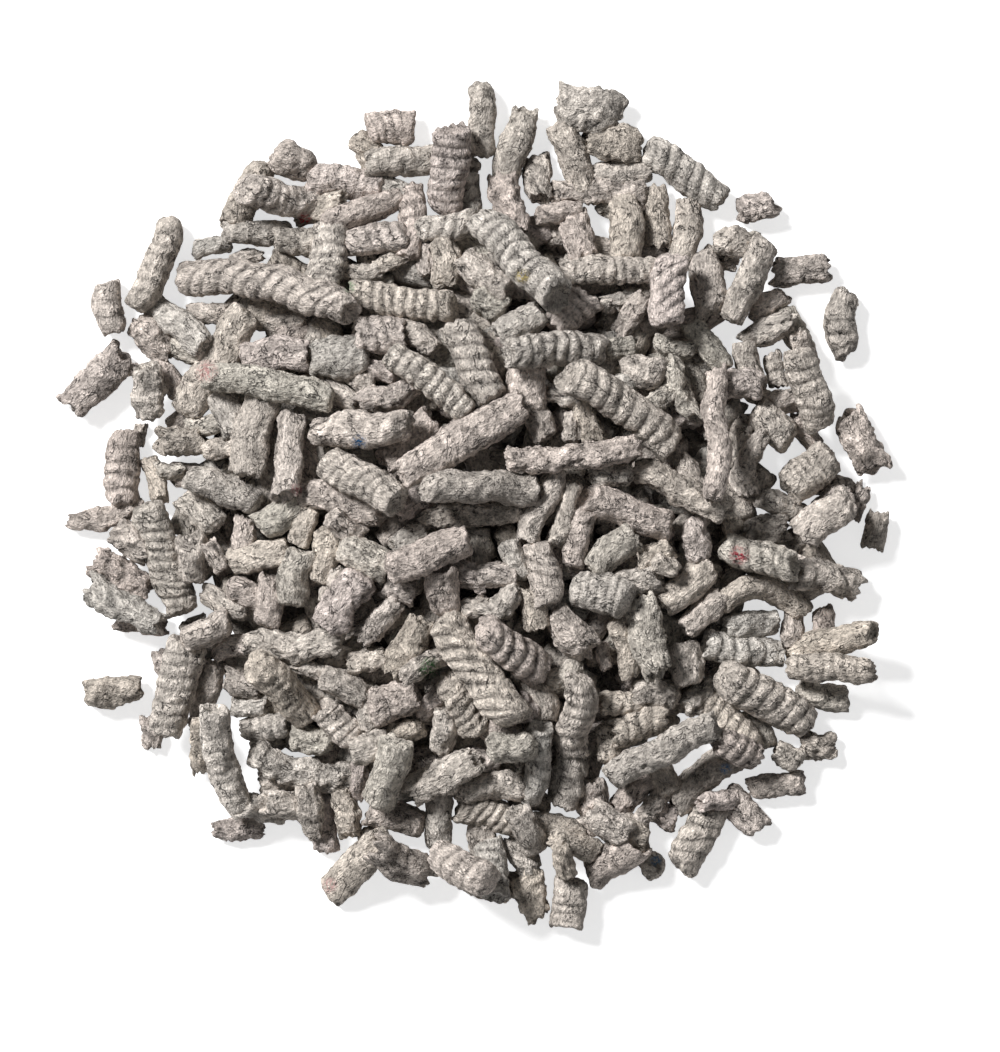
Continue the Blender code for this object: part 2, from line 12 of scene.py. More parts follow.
import bpy
import numpy as np
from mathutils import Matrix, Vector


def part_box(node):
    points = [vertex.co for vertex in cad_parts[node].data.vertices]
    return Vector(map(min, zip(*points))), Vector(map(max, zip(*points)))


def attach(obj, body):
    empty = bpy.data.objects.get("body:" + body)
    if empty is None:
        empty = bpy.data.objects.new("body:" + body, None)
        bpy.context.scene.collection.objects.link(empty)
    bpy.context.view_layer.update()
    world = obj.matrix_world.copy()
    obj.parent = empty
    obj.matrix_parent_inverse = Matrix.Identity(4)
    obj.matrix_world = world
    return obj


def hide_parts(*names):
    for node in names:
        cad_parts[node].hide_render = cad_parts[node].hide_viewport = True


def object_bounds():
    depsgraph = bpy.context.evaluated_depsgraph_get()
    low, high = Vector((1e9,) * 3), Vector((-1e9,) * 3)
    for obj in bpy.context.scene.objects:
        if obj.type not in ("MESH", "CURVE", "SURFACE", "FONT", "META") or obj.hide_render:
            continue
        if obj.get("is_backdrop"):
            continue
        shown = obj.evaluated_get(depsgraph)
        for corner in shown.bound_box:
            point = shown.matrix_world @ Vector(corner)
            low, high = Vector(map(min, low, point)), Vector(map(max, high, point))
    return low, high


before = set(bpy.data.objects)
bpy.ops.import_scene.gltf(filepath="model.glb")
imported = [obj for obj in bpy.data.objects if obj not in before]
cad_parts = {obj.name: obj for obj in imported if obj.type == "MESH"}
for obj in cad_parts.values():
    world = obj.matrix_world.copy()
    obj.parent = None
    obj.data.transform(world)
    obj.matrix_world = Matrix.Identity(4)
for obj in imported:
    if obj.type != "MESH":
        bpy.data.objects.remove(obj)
cad_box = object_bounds()
print("The packed model has", len(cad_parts), "nodes and lies between", cad_box)

# %% [markdown]
# ## Sizes
# The picture shows the heap from straight above, so a place in it is a place on the table.
# A usual rod is 33 pixels wide there and 6 mm thick on the real heap, and that one pair of
# numbers turns every pixel into metres.

# %% Sizes of the heap
MM = 0.001
HEAP_WIDTH = 150 * MM
PELLET_WIDTH = 6 * MM
MOUND_HEIGHT = 16 * MM
RIM_WIDTH = 12 * MM
CLEARANCE = 0.3 * MM
BED_SINK = 0.7 * MM

PICTURE_PIXELS = (1000, 1052)
HEAP_WIDTH_PIXELS = 825
PELLET_WIDTH_PIXELS = 33
HEAP_MIDDLE_PIXELS = (478, 509)

# Shares of a rod's radius, and the steepest rise over run
END_REACH = 0.4
ROUND_TIP = 0.1
BED_TIP = 0.6
BED_FLARE = 0.15
STEEPEST_SLOPE = 0.6

metres_per_pixel = PELLET_WIDTH / PELLET_WIDTH_PIXELS
mound_radius = HEAP_WIDTH / 2 - RIM_WIDTH
print(f"One pixel is {metres_per_pixel / MM:.3f} mm, and the heap is {HEAP_WIDTH / MM:.0f} mm wide")

# %% [markdown]
# ## Where each pellet lies
# Each row is one rod as it was read: its surface, the middles of its two ends, its
# width and how far it bows if it isn't straight, all in pixels. The layers go from the floor
# up. A rod of the bed is part of the model's one solid piece underneath, and a free one is a
# piece of its own.

# %% Rows of pellets
R = "ridged_pellet"
S = "smooth_pellet"
T = "torn_pellet"
C = "crumb"

BED_LAYERS = ((
    (S, 236, 232, 280, 234, 27), (C, 238, 258, 256, 256, 14), (C, 466, 157, 474, 165, 16),
    (S, 386, 185, 402, 192, 25), (S, 548, 215, 572, 212, 24), (C, 604, 209, 616, 211, 16),
    (S, 732, 243, 750, 242, 18), (T, 712, 254, 728, 262, 18), (S, 170, 346, 188, 352, 24),
    (S, 165, 372, 176, 386, 24), (C, 167, 469, 176, 470, 20), (S, 788, 320, 799, 344, 26),
    (S, 778, 402, 798, 399, 24), (T, 130, 621, 154, 624, 26), (C, 166, 665, 168, 669, 24),
    (C, 203, 729, 209, 729, 24), (S, 812, 553, 818, 560, 26), (S, 792, 624, 790, 638, 26),
    (S, 825, 620, 826, 632, 26), (S, 329, 805, 327, 838, 26), (S, 440, 796, 438, 836, 28),
    (C, 374, 840, 378, 846, 30), (C, 477, 882, 481, 884, 26), (S, 484, 884, 502, 891, 18),
    (S, 546, 827, 570, 833, 34), (S, 622, 823, 630, 826, 30), (C, 659, 816, 664, 817, 24),
    (C, 630, 833, 634, 835, 26), (T, 610, 839, 620, 844, 16), (T, 517, 849, 527, 861, 30),
    (S, 734, 804, 750, 820, 30), (T, 524, 884, 534, 904, 32), (T, 643, 853, 654, 866, 22),
), (
    (R, 259, 178, 239, 214, 32), (R, 382, 128, 400, 128, 32), (C, 362, 144, 370, 158, 26),
    (S, 480, 98, 483, 144, 30), (S, 324, 182, 370, 188, 34), (R, 410, 198, 410, 246, 27),
    (C, 292, 242, 302, 242, 32), (S, 352, 272, 374, 272, 18), (C, 424, 250, 425, 270, 16),
    (S, 522, 126, 509, 168, 34), (T, 538, 168, 540, 188, 28), (S, 566, 136, 582, 178, 34),
    (T, 580, 109, 598, 115, 42), (S, 607, 175, 639, 173, 28), (T, 506, 190, 514, 222, 30),
    (S, 655, 198, 657, 236, 26), (T, 622, 300, 638, 296, 20), (S, 761, 307, 775, 300, 26),
    (S, 162, 310, 196, 340, 30), (T, 147, 332, 160, 348, 30), (S, 240, 326, 192, 400, 34),
    (S, 197, 425, 216, 422, 22), (C, 214, 449, 228, 446, 26), (S, 224, 404, 234, 424, 28),
    (T, 79, 520, 133, 505, 22, 6), (S, 192, 504, 208, 518, 30), (S, 334, 390, 350, 400, 22),
    (T, 406, 508, 416, 502, 24), (S, 408, 332, 430, 344, 24), (S, 526, 374, 526, 396, 38),
    (S, 664, 345, 684, 350, 22), (C, 606, 476, 614, 476, 30), (C, 606, 305, 618, 301, 16),
    (S, 746, 356, 750, 374, 28), (C, 802, 342, 808, 356, 24), (R, 773, 362, 778, 378, 20),
    (S, 802, 424, 811, 438, 22), (R, 829, 486, 839, 490, 24), (S, 813, 522, 835, 504, 34),
    (S, 754, 393, 766, 399, 18), (C, 128, 541, 136, 546, 32), (S, 214, 599, 236, 608, 24),
    (S, 242, 705, 260, 705, 22), (S, 335, 578, 331, 592, 26), (S, 404, 542, 416, 536, 28),
    (S, 370, 700, 372, 716, 26), (S, 444, 718, 442, 740, 28), (C, 472, 606, 477, 604, 22),
    (S, 582, 520, 573, 554, 26), (S, 531, 597, 535, 616, 28), (R, 611, 702, 632, 700, 24),
    (S, 540, 694, 541, 706, 30), (S, 536, 740, 550, 730, 24), (C, 603, 648, 606, 660, 16),
    (S, 490, 609, 510, 597, 28), (S, 512, 552, 520, 568, 24), (S, 811, 527, 835, 509, 34),
    (S, 732, 600, 792, 606, 28, -16), (S, 734, 625, 766, 622, 24), (S, 751, 723, 759, 738, 30),
    (T, 207, 736, 207, 758, 32), (T, 252, 804, 272, 810, 28), (C, 276, 782, 284, 782, 30),
    (S, 277, 804, 297, 806, 28), (T, 360, 768, 358, 792, 18), (T, 311, 794, 313, 824, 28),
    (T, 345, 800, 348, 824, 28), (S, 380, 813, 410, 821, 30), (S, 340, 881, 374, 850, 34),
    (T, 386, 853, 414, 867, 34), (T, 480, 830, 486, 858, 28), (R, 470, 809, 516, 820, 32),
    (T, 592, 796, 595, 816, 32), (T, 624, 800, 644, 783, 26), (S, 660, 768, 664, 780, 30),
    (T, 657, 800, 644, 818, 20), (S, 601, 819, 615, 829, 34), (S, 564, 841, 586, 848, 26),
    (S, 522, 822, 532, 838, 30), (R, 490, 853, 494, 883, 30), (S, 683, 793, 731, 754, 34),
    (T, 709, 803, 725, 798, 22), (S, 608, 738, 608, 748, 28),
), (
    (R, 259, 193, 297, 201, 36), (S, 378, 162, 440, 157, 33), (T, 308, 214, 334, 204, 26),
    (R, 330, 242, 324, 276, 40), (R, 362, 243, 392, 240, 34), (R, 428, 230, 462, 228, 30),
    (T, 382, 268, 403, 256, 18), (R, 364, 298, 440, 307, 34), (T, 446, 250, 447, 272, 28),
    (T, 603, 143, 623, 145, 38), (T, 561, 191, 635, 195, 22), (T, 576, 226, 580, 248, 30),
    (S, 624, 214, 626, 250, 38), (S, 688, 212, 683, 250, 30), (S, 705, 268, 709, 298, 34),
    (C, 652, 302, 656, 304, 24), (C, 727, 245, 735, 245, 28), (S, 202, 316, 218, 314, 24),
    (T, 176, 443, 192, 443, 32), (S, 260, 412, 249, 458, 36), (S, 150, 466, 159, 492, 21),
    (R, 126, 445, 122, 489, 34), (C, 141, 429, 140, 440, 13), (S, 256, 357, 298, 354, 32),
    (T, 326, 358, 350, 355, 42), (R, 370, 335, 388, 334, 38), (T, 351, 376, 366, 392, 22),
    (C, 378, 372, 384, 372, 22), (S, 424, 430, 396, 456, 32), (S, 304, 492, 368, 510, 28),
    (T, 430, 517, 510, 512, 22), (R, 464, 342, 484, 384, 42), (C, 614, 349, 626, 348, 24),
    (S, 512, 332, 528, 320, 36), (R, 566, 322, 580, 308, 32), (C, 640, 370, 646, 370, 30),
    (C, 620, 383, 626, 384, 20), (T, 556, 396, 568, 399, 22), (T, 672, 372, 690, 408, 24),
    (C, 570, 420, 572, 434, 18), (S, 534, 410, 542, 428, 28), (S, 570, 492, 556, 536, 22),
    (S, 684, 468, 696, 486, 26), (T, 652, 404, 666, 392, 22), (T, 626, 324, 640, 306, 24),
    (S, 697, 332, 716, 360, 27), (C, 734, 385, 744, 386, 34), (T, 756, 336, 778, 328, 30),
    (S, 768, 420, 780, 430, 34), (C, 741, 434, 740, 448, 19), (S, 770, 502, 792, 510, 26),
    (R, 154, 518, 177, 598, 34), (T, 191, 548, 195, 568, 34), (T, 213, 550, 220, 562, 24),
    (S, 246, 526, 244, 544, 22), (C, 245, 592, 251, 593, 28), (S, 272, 588, 267, 612, 28),
    (S, 212, 674, 203, 706, 24), (S, 224, 650, 246, 646, 22), (S, 236, 681, 252, 688, 26),
    (R, 254, 728, 280, 725, 28), (S, 306, 518, 300, 536, 24), (S, 340, 522, 355, 531, 24),
    (S, 272, 520, 288, 510, 32), (S, 300, 564, 295, 588, 34), (S, 328, 540, 325, 570, 28),
    (S, 354, 553, 378, 567, 36), (T, 452, 566, 476, 583, 26), (S, 488, 575, 504, 575, 28),
    (S, 443, 580, 445, 600, 32), (T, 358, 661, 376, 656, 24), (T, 368, 628, 392, 608, 26),
    (C, 398, 588, 404, 590, 26), (S, 302, 666, 316, 671, 20), (T, 338, 681, 354, 689, 34),
    (R, 332, 716, 350, 732, 34), (S, 386, 706, 404, 697, 36), (S, 427, 710, 438, 699, 18),
    (S, 398, 731, 412, 728, 24), (S, 372, 737, 388, 729, 22), (R, 456, 690, 468, 720, 34),
    (S, 602, 562, 624, 543, 32), (S, 621, 628, 629, 664, 28), (C, 695, 532, 697, 548, 30),
    (S, 674, 598, 702, 573, 30), (S, 555, 678, 572, 669, 24), (R, 626, 727, 651, 721, 36),
    (C, 684, 658, 686, 668, 36), (C, 522, 702, 527, 712, 22), (T, 498, 730, 516, 739, 34),
    (T, 758, 530, 772, 528, 30), (R, 716, 648, 766, 652, 30), (S, 802, 647, 860, 635, 30),
    (R, 711, 704, 741, 736, 38), (T, 690, 698, 706, 689, 26), (C, 308, 740, 316, 741, 30),
    (C, 364, 747, 376, 743, 32), (S, 468, 785, 514, 785, 32), (C, 483, 757, 488, 759, 24),
    (S, 540, 736, 534, 792, 28), (T, 574, 756, 563, 790, 34), (S, 563, 853, 566, 866, 22),
    (R, 728, 746, 746, 752, 30), (S, 474, 266, 498, 284, 34), (C, 488, 304, 494, 306, 28),
    (S, 606, 866, 626, 852, 38),
), (
    (R, 452, 146, 447, 200, 36), (S, 334, 222, 390, 202, 28), (T, 372, 404, 408, 390, 28),
    (T, 586, 400, 590, 432, 24), (S, 553, 478, 530, 532, 26), (S, 598, 503, 658, 523, 33),
    (T, 644, 472, 716, 506, 30), (T, 760, 444, 748, 484, 22, 8), (S, 244, 560, 276, 553, 28),
    (T, 260, 645, 328, 645, 31), (T, 353, 588, 334, 614, 36), (T, 400, 660, 416, 634, 34),
    (S, 412, 672, 438, 657, 22), (R, 541, 556, 545, 592, 34), (T, 642, 556, 658, 550, 28),
    (C, 661, 563, 666, 566, 20), (S, 629, 584, 645, 580, 32), (T, 640, 612, 654, 658, 34),
    (S, 693, 622, 713, 603, 28), (T, 564, 624, 578, 638, 38), (T, 644, 692, 664, 692, 30),
    (T, 266, 754, 344, 774, 28, 10), (S, 393, 756, 384, 790, 36), (C, 508, 745, 516, 745, 34),
))
FREE_LAYERS = ((
    (R, 108, 293, 112, 325, 32), (C, 200, 251, 226, 247, 20), (C, 284, 158, 304, 166, 34),
    (T, 748, 210, 764, 206, 34), (T, 782, 270, 820, 268, 28), (R, 845, 300, 846, 344, 30, 6),
    (T, 118, 362, 80, 402, 36), (T, 148, 376, 150, 408, 36), (T, 852, 424, 868, 460, 40),
    (T, 861, 492, 856, 512, 18), (T, 104, 567, 138, 586, 34), (T, 96, 693, 132, 690, 34),
    (T, 150, 724, 152, 742, 18), (S, 877, 519, 874, 541, 25), (S, 804, 692, 840, 698, 26),
    (T, 222, 828, 254, 830, 24), (R, 571, 890, 568, 916, 38), (R, 708, 818, 686, 858, 35),
    (S, 758, 786, 794, 782, 27), (C, 785, 755, 789, 757, 26), (T, 812, 745, 824, 745, 26),
), (
    (R, 168, 228, 138, 300, 32, -5), (T, 98, 594, 152, 620, 30),
), (
    (R, 654, 157, 716, 195, 32), (R, 799, 360, 817, 420, 34), (R, 796, 482, 820, 462, 40),
    (R, 188, 652, 168, 722, 38), (T, 806, 574, 846, 584, 34), (R, 796, 668, 864, 670, 28),
    (R, 447, 858, 479, 874, 39),
), (
    (R, 192, 281, 340, 312, 38, -14), (R, 490, 226, 548, 290, 42), (R, 570, 270, 648, 272, 30),
    (R, 673, 266, 669, 316, 36, 3), (S, 763, 250, 734, 312, 30), (S, 214, 374, 324, 398, 31),
    (S, 198, 480, 250, 500, 34), (R, 398, 357, 462, 408, 32), (T, 324, 430, 396, 429, 36),
    (S, 293, 420, 285, 488, 29), (R, 410, 470, 512, 408, 36), (R, 338, 466, 390, 496, 40),
    (S, 436, 487, 524, 487, 34), (R, 518, 352, 592, 350, 32), (R, 578, 382, 664, 440, 37, -8),
    (T, 516, 457, 630, 448, 25, 4), (S, 712, 378, 713, 490, 25, -4), (S, 194, 638, 222, 626, 32),
    (R, 219, 715, 241, 803, 30, 8), (R, 264, 670, 302, 706, 38), (S, 400, 567, 460, 542, 36),
    (R, 448, 628, 508, 712, 38), (R, 494, 634, 532, 664, 38), (R, 584, 587, 616, 599, 38),
    (R, 580, 688, 573, 742, 34), (S, 616, 771, 706, 726, 29), (R, 734, 551, 784, 564, 36),
    (R, 734, 680, 800, 718, 39), (T, 418, 789, 466, 762, 32),
))

print(sum(map(len, BED_LAYERS)), "pellets in the bed and", sum(map(len, FREE_LAYERS)), "free ones")

# %% [markdown]
# ## Letting the pellets down
# A loose rod comes to rest on the two highest supports below it, one on each side of its
# middle. Here each rod is filled with a row of balls. The height at which each ball clears
# what lies below is known, and the rod takes the lowest straight line that keeps above all
# of them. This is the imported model's own rule, so the results agree with it.

# %% A pellet and its place
def on_table(pixels):
    """Places in metres: pixels from the heap's middle, with y turned up, times the heap's scale."""
    return (np.array(pixels) - HEAP_MIDDLE_PIXELS) * [1, -1] * HEAP_WIDTH / HEAP_WIDTH_PIXELS


class Pellet:
    """A rod in plan: its middle, its direction, its half length, its bow and its radius."""

    def __init__(self, row, in_bed):
        self.surface, x1, y1, x2, y2, width, bow = (*row, 0)[:7]
        self.in_bed = in_bed
        self.ridges_read = None
        self.pixels = ((x1 + x2) / 2, (y1 + y2) / 2)
        self.middle = on_table(self.pixels)
        chord = np.array([x2 - x1, y1 - y2]) * metres_per_pixel
        length = np.hypot(*chord)
        self.along = chord / length
        self.across = np.array([self.along[1], -self.along[0]])
        self.radius = width / 2 * metres_per_pixel
        self.reach = max(length / 2 + END_REACH * self.radius, (1 - ROUND_TIP) * self.radius)
        self.bow = bow * metres_per_pixel
        self.height = self.slope = 0.0

    def plan(self, s):
        """Middle + s steps along + a sideways bow that is greatest halfway and nil at the ends."""
        sideways = self.bow * (1 - (s / self.reach) ** 2)
        return self.middle + np.outer(s, self.along) + np.outer(sideways, self.across)

    def balls(self):
        """Distances along the rod of the centres of its balls, half a radius apart or less."""
        end = max(self.reach - self.radius, 0.0)
        return np.linspace(-end, end, int(np.ceil(4 * end / self.radius)) + 1)

    def ball_centres(self):
        """The centres in space of those balls."""
        s = self.balls()
        return np.column_stack([self.plan(s), self.height + self.slope * s])


# %% The rule by which they come to rest
def mound_top(places):
    """Height and steepness of the mound: its height times one less the square of the way out."""
    share = np.hypot(places[:, 0], places[:, 1]) / mound_radius
    return MOUND_HEIGHT * (1 - share ** 2), 2 * MOUND_HEIGHT * share / mound_radius


class Heap:
    """The balls of every rod laid so far, on which the next one comes to rest."""

    def __init__(self):
        self.centres = np.zeros((0, 3))
        self.radii = np.zeros(0)
        self.in_bed = np.zeros(0, dtype=bool)

    def needed_heights(self, pellet, s):
        """The height of each ball over the floor, the mound and the balls below: the highest."""
        places = pellet.plan(s)
        top, steepness = mound_top(places)
        above = -BED_SINK if pellet.in_bed else CLEARANCE
        on_mound = top + (pellet.radius + above) * np.sqrt(1 + steepness ** 2)
        lowest = np.maximum(on_mound, pellet.radius)
        if not len(self.radii):
            return lowest
        bed_radii = np.where(self.in_bed, self.radii, pellet.radius)
        proud = np.where(self.in_bed ^ pellet.in_bed, BED_FLARE * bed_radii, 0)
        gap = np.where(self.in_bed & pellet.in_bed, -BED_SINK, CLEARANCE + proud)
        offsets = places[:, None, :] - self.centres[None, :, :2]
        room = (pellet.radius + self.radii + gap) ** 2 - (offsets ** 2).sum(axis=2)
        on_pellets = self.centres[:, 2] + np.sqrt(np.maximum(room, 0))
        return np.maximum(lowest, np.where(room > 0, on_pellets, 0).max(axis=1))

    def rest(self, pellet):
        """Of all lines through one support on either side, the highest at the middle."""
        s = pellet.balls()
        needed = self.needed_heights(pellet, s)
        left = s <= 0
        right = s >= 0
        span = s[right][None, :] - s[left][:, None]
        rise = needed[right][None, :] - needed[left][:, None]
        slope = np.divide(rise, span, out=np.zeros_like(span), where=span > 0)
        crossing = needed[left][:, None] - slope * s[left][:, None]
        best = np.unravel_index(np.argmax(crossing), crossing.shape)
        pellet.slope = float(np.clip(slope[best], -STEEPEST_SLOPE, STEEPEST_SLOPE))
        pellet.height = float((needed - pellet.slope * s).max())
        if pellet.in_bed:
            end = pellet.reach - BED_TIP * min(pellet.radius, pellet.reach)
            pellet.height = max(pellet.height, abs(pellet.slope) * end + pellet.radius)

    def add(self, pellet):
        """Keeps the rod's balls, so that later rods rest on it."""
        centres = pellet.ball_centres()
        self.centres = np.vstack([self.centres, centres])
        self.radii = np.append(self.radii, np.full(len(centres), pellet.radius))
        self.in_bed = np.append(self.in_bed, np.full(len(centres), pellet.in_bed))


# %% Lay every pellet
heap = Heap()
bed_pellets = []
free_pellets = {}
surface_counts = {R: 0, S: 0, T: 0, C: 0}
for bed_rows, free_rows in zip(BED_LAYERS, FREE_LAYERS):
    for row in bed_rows + free_rows:
        pellet = Pellet(row, row in bed_rows)
        heap.rest(pellet)
        heap.add(pellet)
        if pellet.in_bed:
            bed_pellets.append(pellet)
            continue
        surface_counts[pellet.surface] += 1
        free_pellets[f"{pellet.surface}_{surface_counts[pellet.surface]:02d}"] = pellet

apart = [abs(np.mean(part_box(name), axis=0)[2] - pellet.height) for name, pellet in free_pellets.items()]
print(f"{len(free_pellets)} free pellets lie within {max(apart) / MM:.2f} mm of their nodes' heights")

# %% [markdown]
# ## The pellets further down
# Between the rods that the picture shows, one looks down on others in the shade. They are
# strewn by chance, from a fixed seed so that every run gives the same heap. Inside the heap
# they hang from the underside of the model's mound, so they touch no rod above it. Near its
# rim they lie on the floor, wherever there is room, but not where the white table shows.

# %% Strew the hidden pellets
STREWN_INSIDE = 260
STREWN_AT_RIM = 900
STREWN_LENGTHS_PIXELS = (6, 34)
STREWN_WIDTHS_PIXELS = (24, 36)
INSIDE_RADIUS = 52 * MM
RIM_SPAN = (44 * MM, 62 * MM)
WIDEST_OVERLAP = 0.5 * MM
TABLE_SPOTS_PIXELS = (
    (420, 180), (590, 208), (735, 335), (765, 370), (730, 712), (245, 625), (190, 600),
    (620, 785), (690, 760), (460, 820), (365, 815), (790, 640), (152, 432), (784, 455),
)
TABLE_SPOT_WIDTH = 6 * MM

strewing = np.random.default_rng(7)
table_spots = on_table(TABLE_SPOTS_PIXELS)


def strewn_pellet(radii):
    """A rod with its middle at a chance distance between two radii, in a chance direction."""
    out = np.sqrt(strewing.uniform(radii[0] ** 2, radii[1] ** 2)) / HEAP_WIDTH * HEAP_WIDTH_PIXELS
    turn, lie = strewing.uniform(0, 2 * np.pi, 2)
    half = strewing.uniform(*STREWN_LENGTHS_PIXELS) / 2
    width = strewing.uniform(*STREWN_WIDTHS_PIXELS)
    x = HEAP_MIDDLE_PIXELS[0] + out * np.cos(turn)
    y = HEAP_MIDDLE_PIXELS[1] + out * np.sin(turn)
    surface = (R, S, S, T)[strewing.integers(4)]
    right, down = half * np.cos(lie), half * np.sin(lie)
    ends = (x - right, y - down, x + right, y + down)
    return Pellet((surface, *ends, width), True)


def overlap_with(pellet, centres, radii):
    """How deep the rod's balls are in others: the sum of the radii less the distance, at most."""
    own = pellet.ball_centres()
    apart = np.sqrt(((own[:, None, :] - centres[None, :, :]) ** 2).sum(axis=2))
    return (pellet.radius + radii - apart).max()


strewn_pellets = []
for _ in range(STREWN_INSIDE):
    pellet = strewn_pellet((0, INSIDE_RADIUS))
    s = pellet.balls()
    top, steepness = mound_top(pellet.plan(s))
    hung = top - pellet.radius * np.sqrt(1 + steepness ** 2)
    pellet.slope = float((hung[-1] - hung[0]) / (s[-1] - s[0])) if len(s) > 1 else 0.0
    pellet.height = float((hung - pellet.slope * s).min())
    if pellet.height - abs(pellet.slope) * pellet.reach > pellet.radius:
        strewn_pellets.append(pellet)
inside_count = len(strewn_pellets)
for _ in range(STREWN_AT_RIM):
    pellet = strewn_pellet(RIM_SPAN)
    pellet.height = pellet.radius
    clear_of_table = np.hypot(*(table_spots - pellet.middle).T).min() > TABLE_SPOT_WIDTH
    if clear_of_table and overlap_with(pellet, heap.centres, heap.radii) < WIDEST_OVERLAP:
        strewn_pellets.append(pellet)
        heap.add(pellet)
print(inside_count, "hidden pellets inside and", len(strewn_pellets) - inside_count, "at the rim")

# %% [markdown]
# ## The skin of a pellet
# A rod's surface is a function of two numbers: the angle round it and the way from one end's
# middle to the other's. A modifier with a noise texture could roughen a tube too, but the
# ridges, cracks and torn ends follow the rod, so they are worked out on that grid.
#
# Everything irregular comes from one helper, which adds cosine waves of chance direction. A
# wave goes round the rod a whole number of times, so the skin closes without a seam.

# %% A field of chance waves
def waves(chance, angle, s, around, along, count=10):
    """The sum of cosines of (turns x angle + pitch x s + phase), scaled to a usual height of 1.

    The turns are whole numbers up to `around`, and a wave is `along` metres long or longer.
    """
    turns = chance.integers(-around, around + 1, count)
    pitches = chance.uniform(-1, 1, count) * 2 * np.pi / along
    phases = chance.uniform(0, 2 * np.pi, count)
    total = np.zeros(np.broadcast(angle, s).shape)
    for turn, pitch, phase in zip(turns, pitches, phases):
        total += np.cos(turn * angle + pitch * s + phase)
    return total * np.sqrt(2 / count)


# %% [markdown]
# The press drives the pulp on in steps, and each step leaves a ridge with a narrow groove
# before the next. On the real rods the ridges are 1.4 to 2.7 mm apart, often askew, and worn
# away on one side. Those of the free rods are read from the picture, one by one, and the rest
# get theirs by chance. A break is ragged: its rim sticks out in tongues, and its middle is
# hollow or swollen.

# %% Sizes of the skin
# Of each free ridged rod: how far askew its ridges lie, their pitch in mm, and how plain they are
RIDGES_READ = (
    (0.0, 2.7, 0.8), (0.15, 2.7, 0.8), (0.0, 1.5, 0.5), (-0.4, 2.7, 1.0), (-0.1, 2.4, 0.6),
    (-0.3, 2.6, 1.0), (0.0, 2.3, 0.7), (0.05, 1.4, 0.5), (-0.15, 2.3, 0.7), (-0.1, 2.1, 0.8),
    (0.1, 2.1, 1.0), (0.45, 2.7, 1.0), (0.0, 2.1, 0.9), (-0.1, 1.8, 0.8), (-0.8, 2.7, 1.1),
    (-0.1, 2.1, 1.0), (0.2, 2.4, 0.4), (0.2, 1.7, 0.7), (0.0, 2.2, 1.0), (-0.1, 2.7, 1.0),
    (0.0, 2.1, 0.4), (-0.1, 1.8, 0.4), (0.75, 2.7, 1.0), (-0.15, 2.4, 1.2), (-0.2, 1.7, 0.9),
    (0.0, 2.0, 0.8), (-0.3, 2.4, 0.9), (0.15, 2.5, 0.9),
)
# The same three for the other rods
MOST_ASKEW = 0.4
RIDGE_PITCHES = (1.7 * MM, 2.7 * MM)
RIDGE_STRENGTHS = (0.7, 1.1)

RIDGE_HEIGHT = 0.33 * MM
RIDGE_SHARPNESS = 0.8
FAINTLY_RIDGED = 0.4
FAINT_RIDGES = 0.35
BEND = 0.25 * MM
DENT = 0.15 * MM
FLOOR_CLEARANCE = 0.05 * MM
RELIEF_UNIT = 0.5 * MM

# Of each surface: heights and depths in mm, and the most that the ends' shares of the radius reach
PLAIN = {"lump": 0.11, "flake": 0.08, "crack": 0.20, "ragged": 0.42,
         "caps": (0.10, 0.38), "hollow": 0.6, "taper": 0.25, "pinch": 0.25, "slant": 0.5}
SURFACES = {
    R: {**PLAIN, "crumple": 0.05},
    S: {**PLAIN, "crumple": 0.08},
    T: {**PLAIN, "lump": 0.20, "crumple": 0.11, "flake": 0.18, "crack": 0.36, "ragged": 0.85,
        "hollow": 0.9, "taper": 0.35, "pinch": 0.6},
    C: {**PLAIN, "lump": 0.20, "crumple": 0.11, "flake": 0.16, "crack": 0.30,
        "caps": (0.3, 0.8), "slant": 0.25},
}

# Least lengths of the waves that make crumples, flakes, cracks and creases
CRUMPLE_LENGTHS = (3.2 * MM, 2.2 * MM)
FLAKE_LENGTH = 2.5 * MM
CRACK_LENGTH = 2.2 * MM
CREASE_LENGTHS = (5 * MM, 1.1 * MM)
CREASE = 0.05 * MM

# In radii: how far from its ends a rod is tapered and pinched, how far it is torn, how oval and
# flat it is, and how much longer than in the model
TAPERED = 2.2
TORN = 1.2
OVAL = 0.08
FLATTENED = 0.95
LENGTHENING = 0.22
LENGTHENING_IN_BED = 0.5

# How fine the grid is: points round a rod, rings over an end, and the step along the body
AROUND = 38
STREWN_AROUND = 14
CAP_RINGS = 7
STEPS = {R: 0.36 * MM, S: 0.42 * MM, T: 0.40 * MM, C: 0.40 * MM}


def skin_numbers(surface, chance):
    """Chance values for one rod, within what its surface allows, in metres or shares."""
    most = SURFACES[surface]
    faint = surface == S and chance.uniform() < FAINTLY_RIDGED
    return {
        "ridges": chance.uniform(*RIDGE_STRENGTHS) if surface == R else FAINT_RIDGES if faint else 0.0,
        "askew": chance.uniform(-MOST_ASKEW, MOST_ASKEW),
        "pitch": chance.uniform(*RIDGE_PITCHES),
        "lump": most["lump"] * MM,
        "crumple": most["crumple"] * MM * chance.uniform(0.7, 1.3),
        "flake": most["flake"] * MM * chance.uniform(0.6, 1.2),
        "crack": most["crack"] * MM * chance.uniform(0.6, 1.2),
        "ragged": most["ragged"] * MM * chance.uniform(0.5, 1.3),
        "cap": chance.uniform(*most["caps"], 2),
        "bluntness": chance.uniform(0.5, 0.85, 2),
        "hollow": np.maximum(chance.uniform(-0.4, most["hollow"], 2), -0.1),
        "taper": chance.uniform(0, most["taper"], 2),
        "pinch": np.maximum(chance.uniform(-0.3, most["pinch"], 2), 0),
        "slant": chance.uniform(-most["slant"], most["slant"], 2),
    }


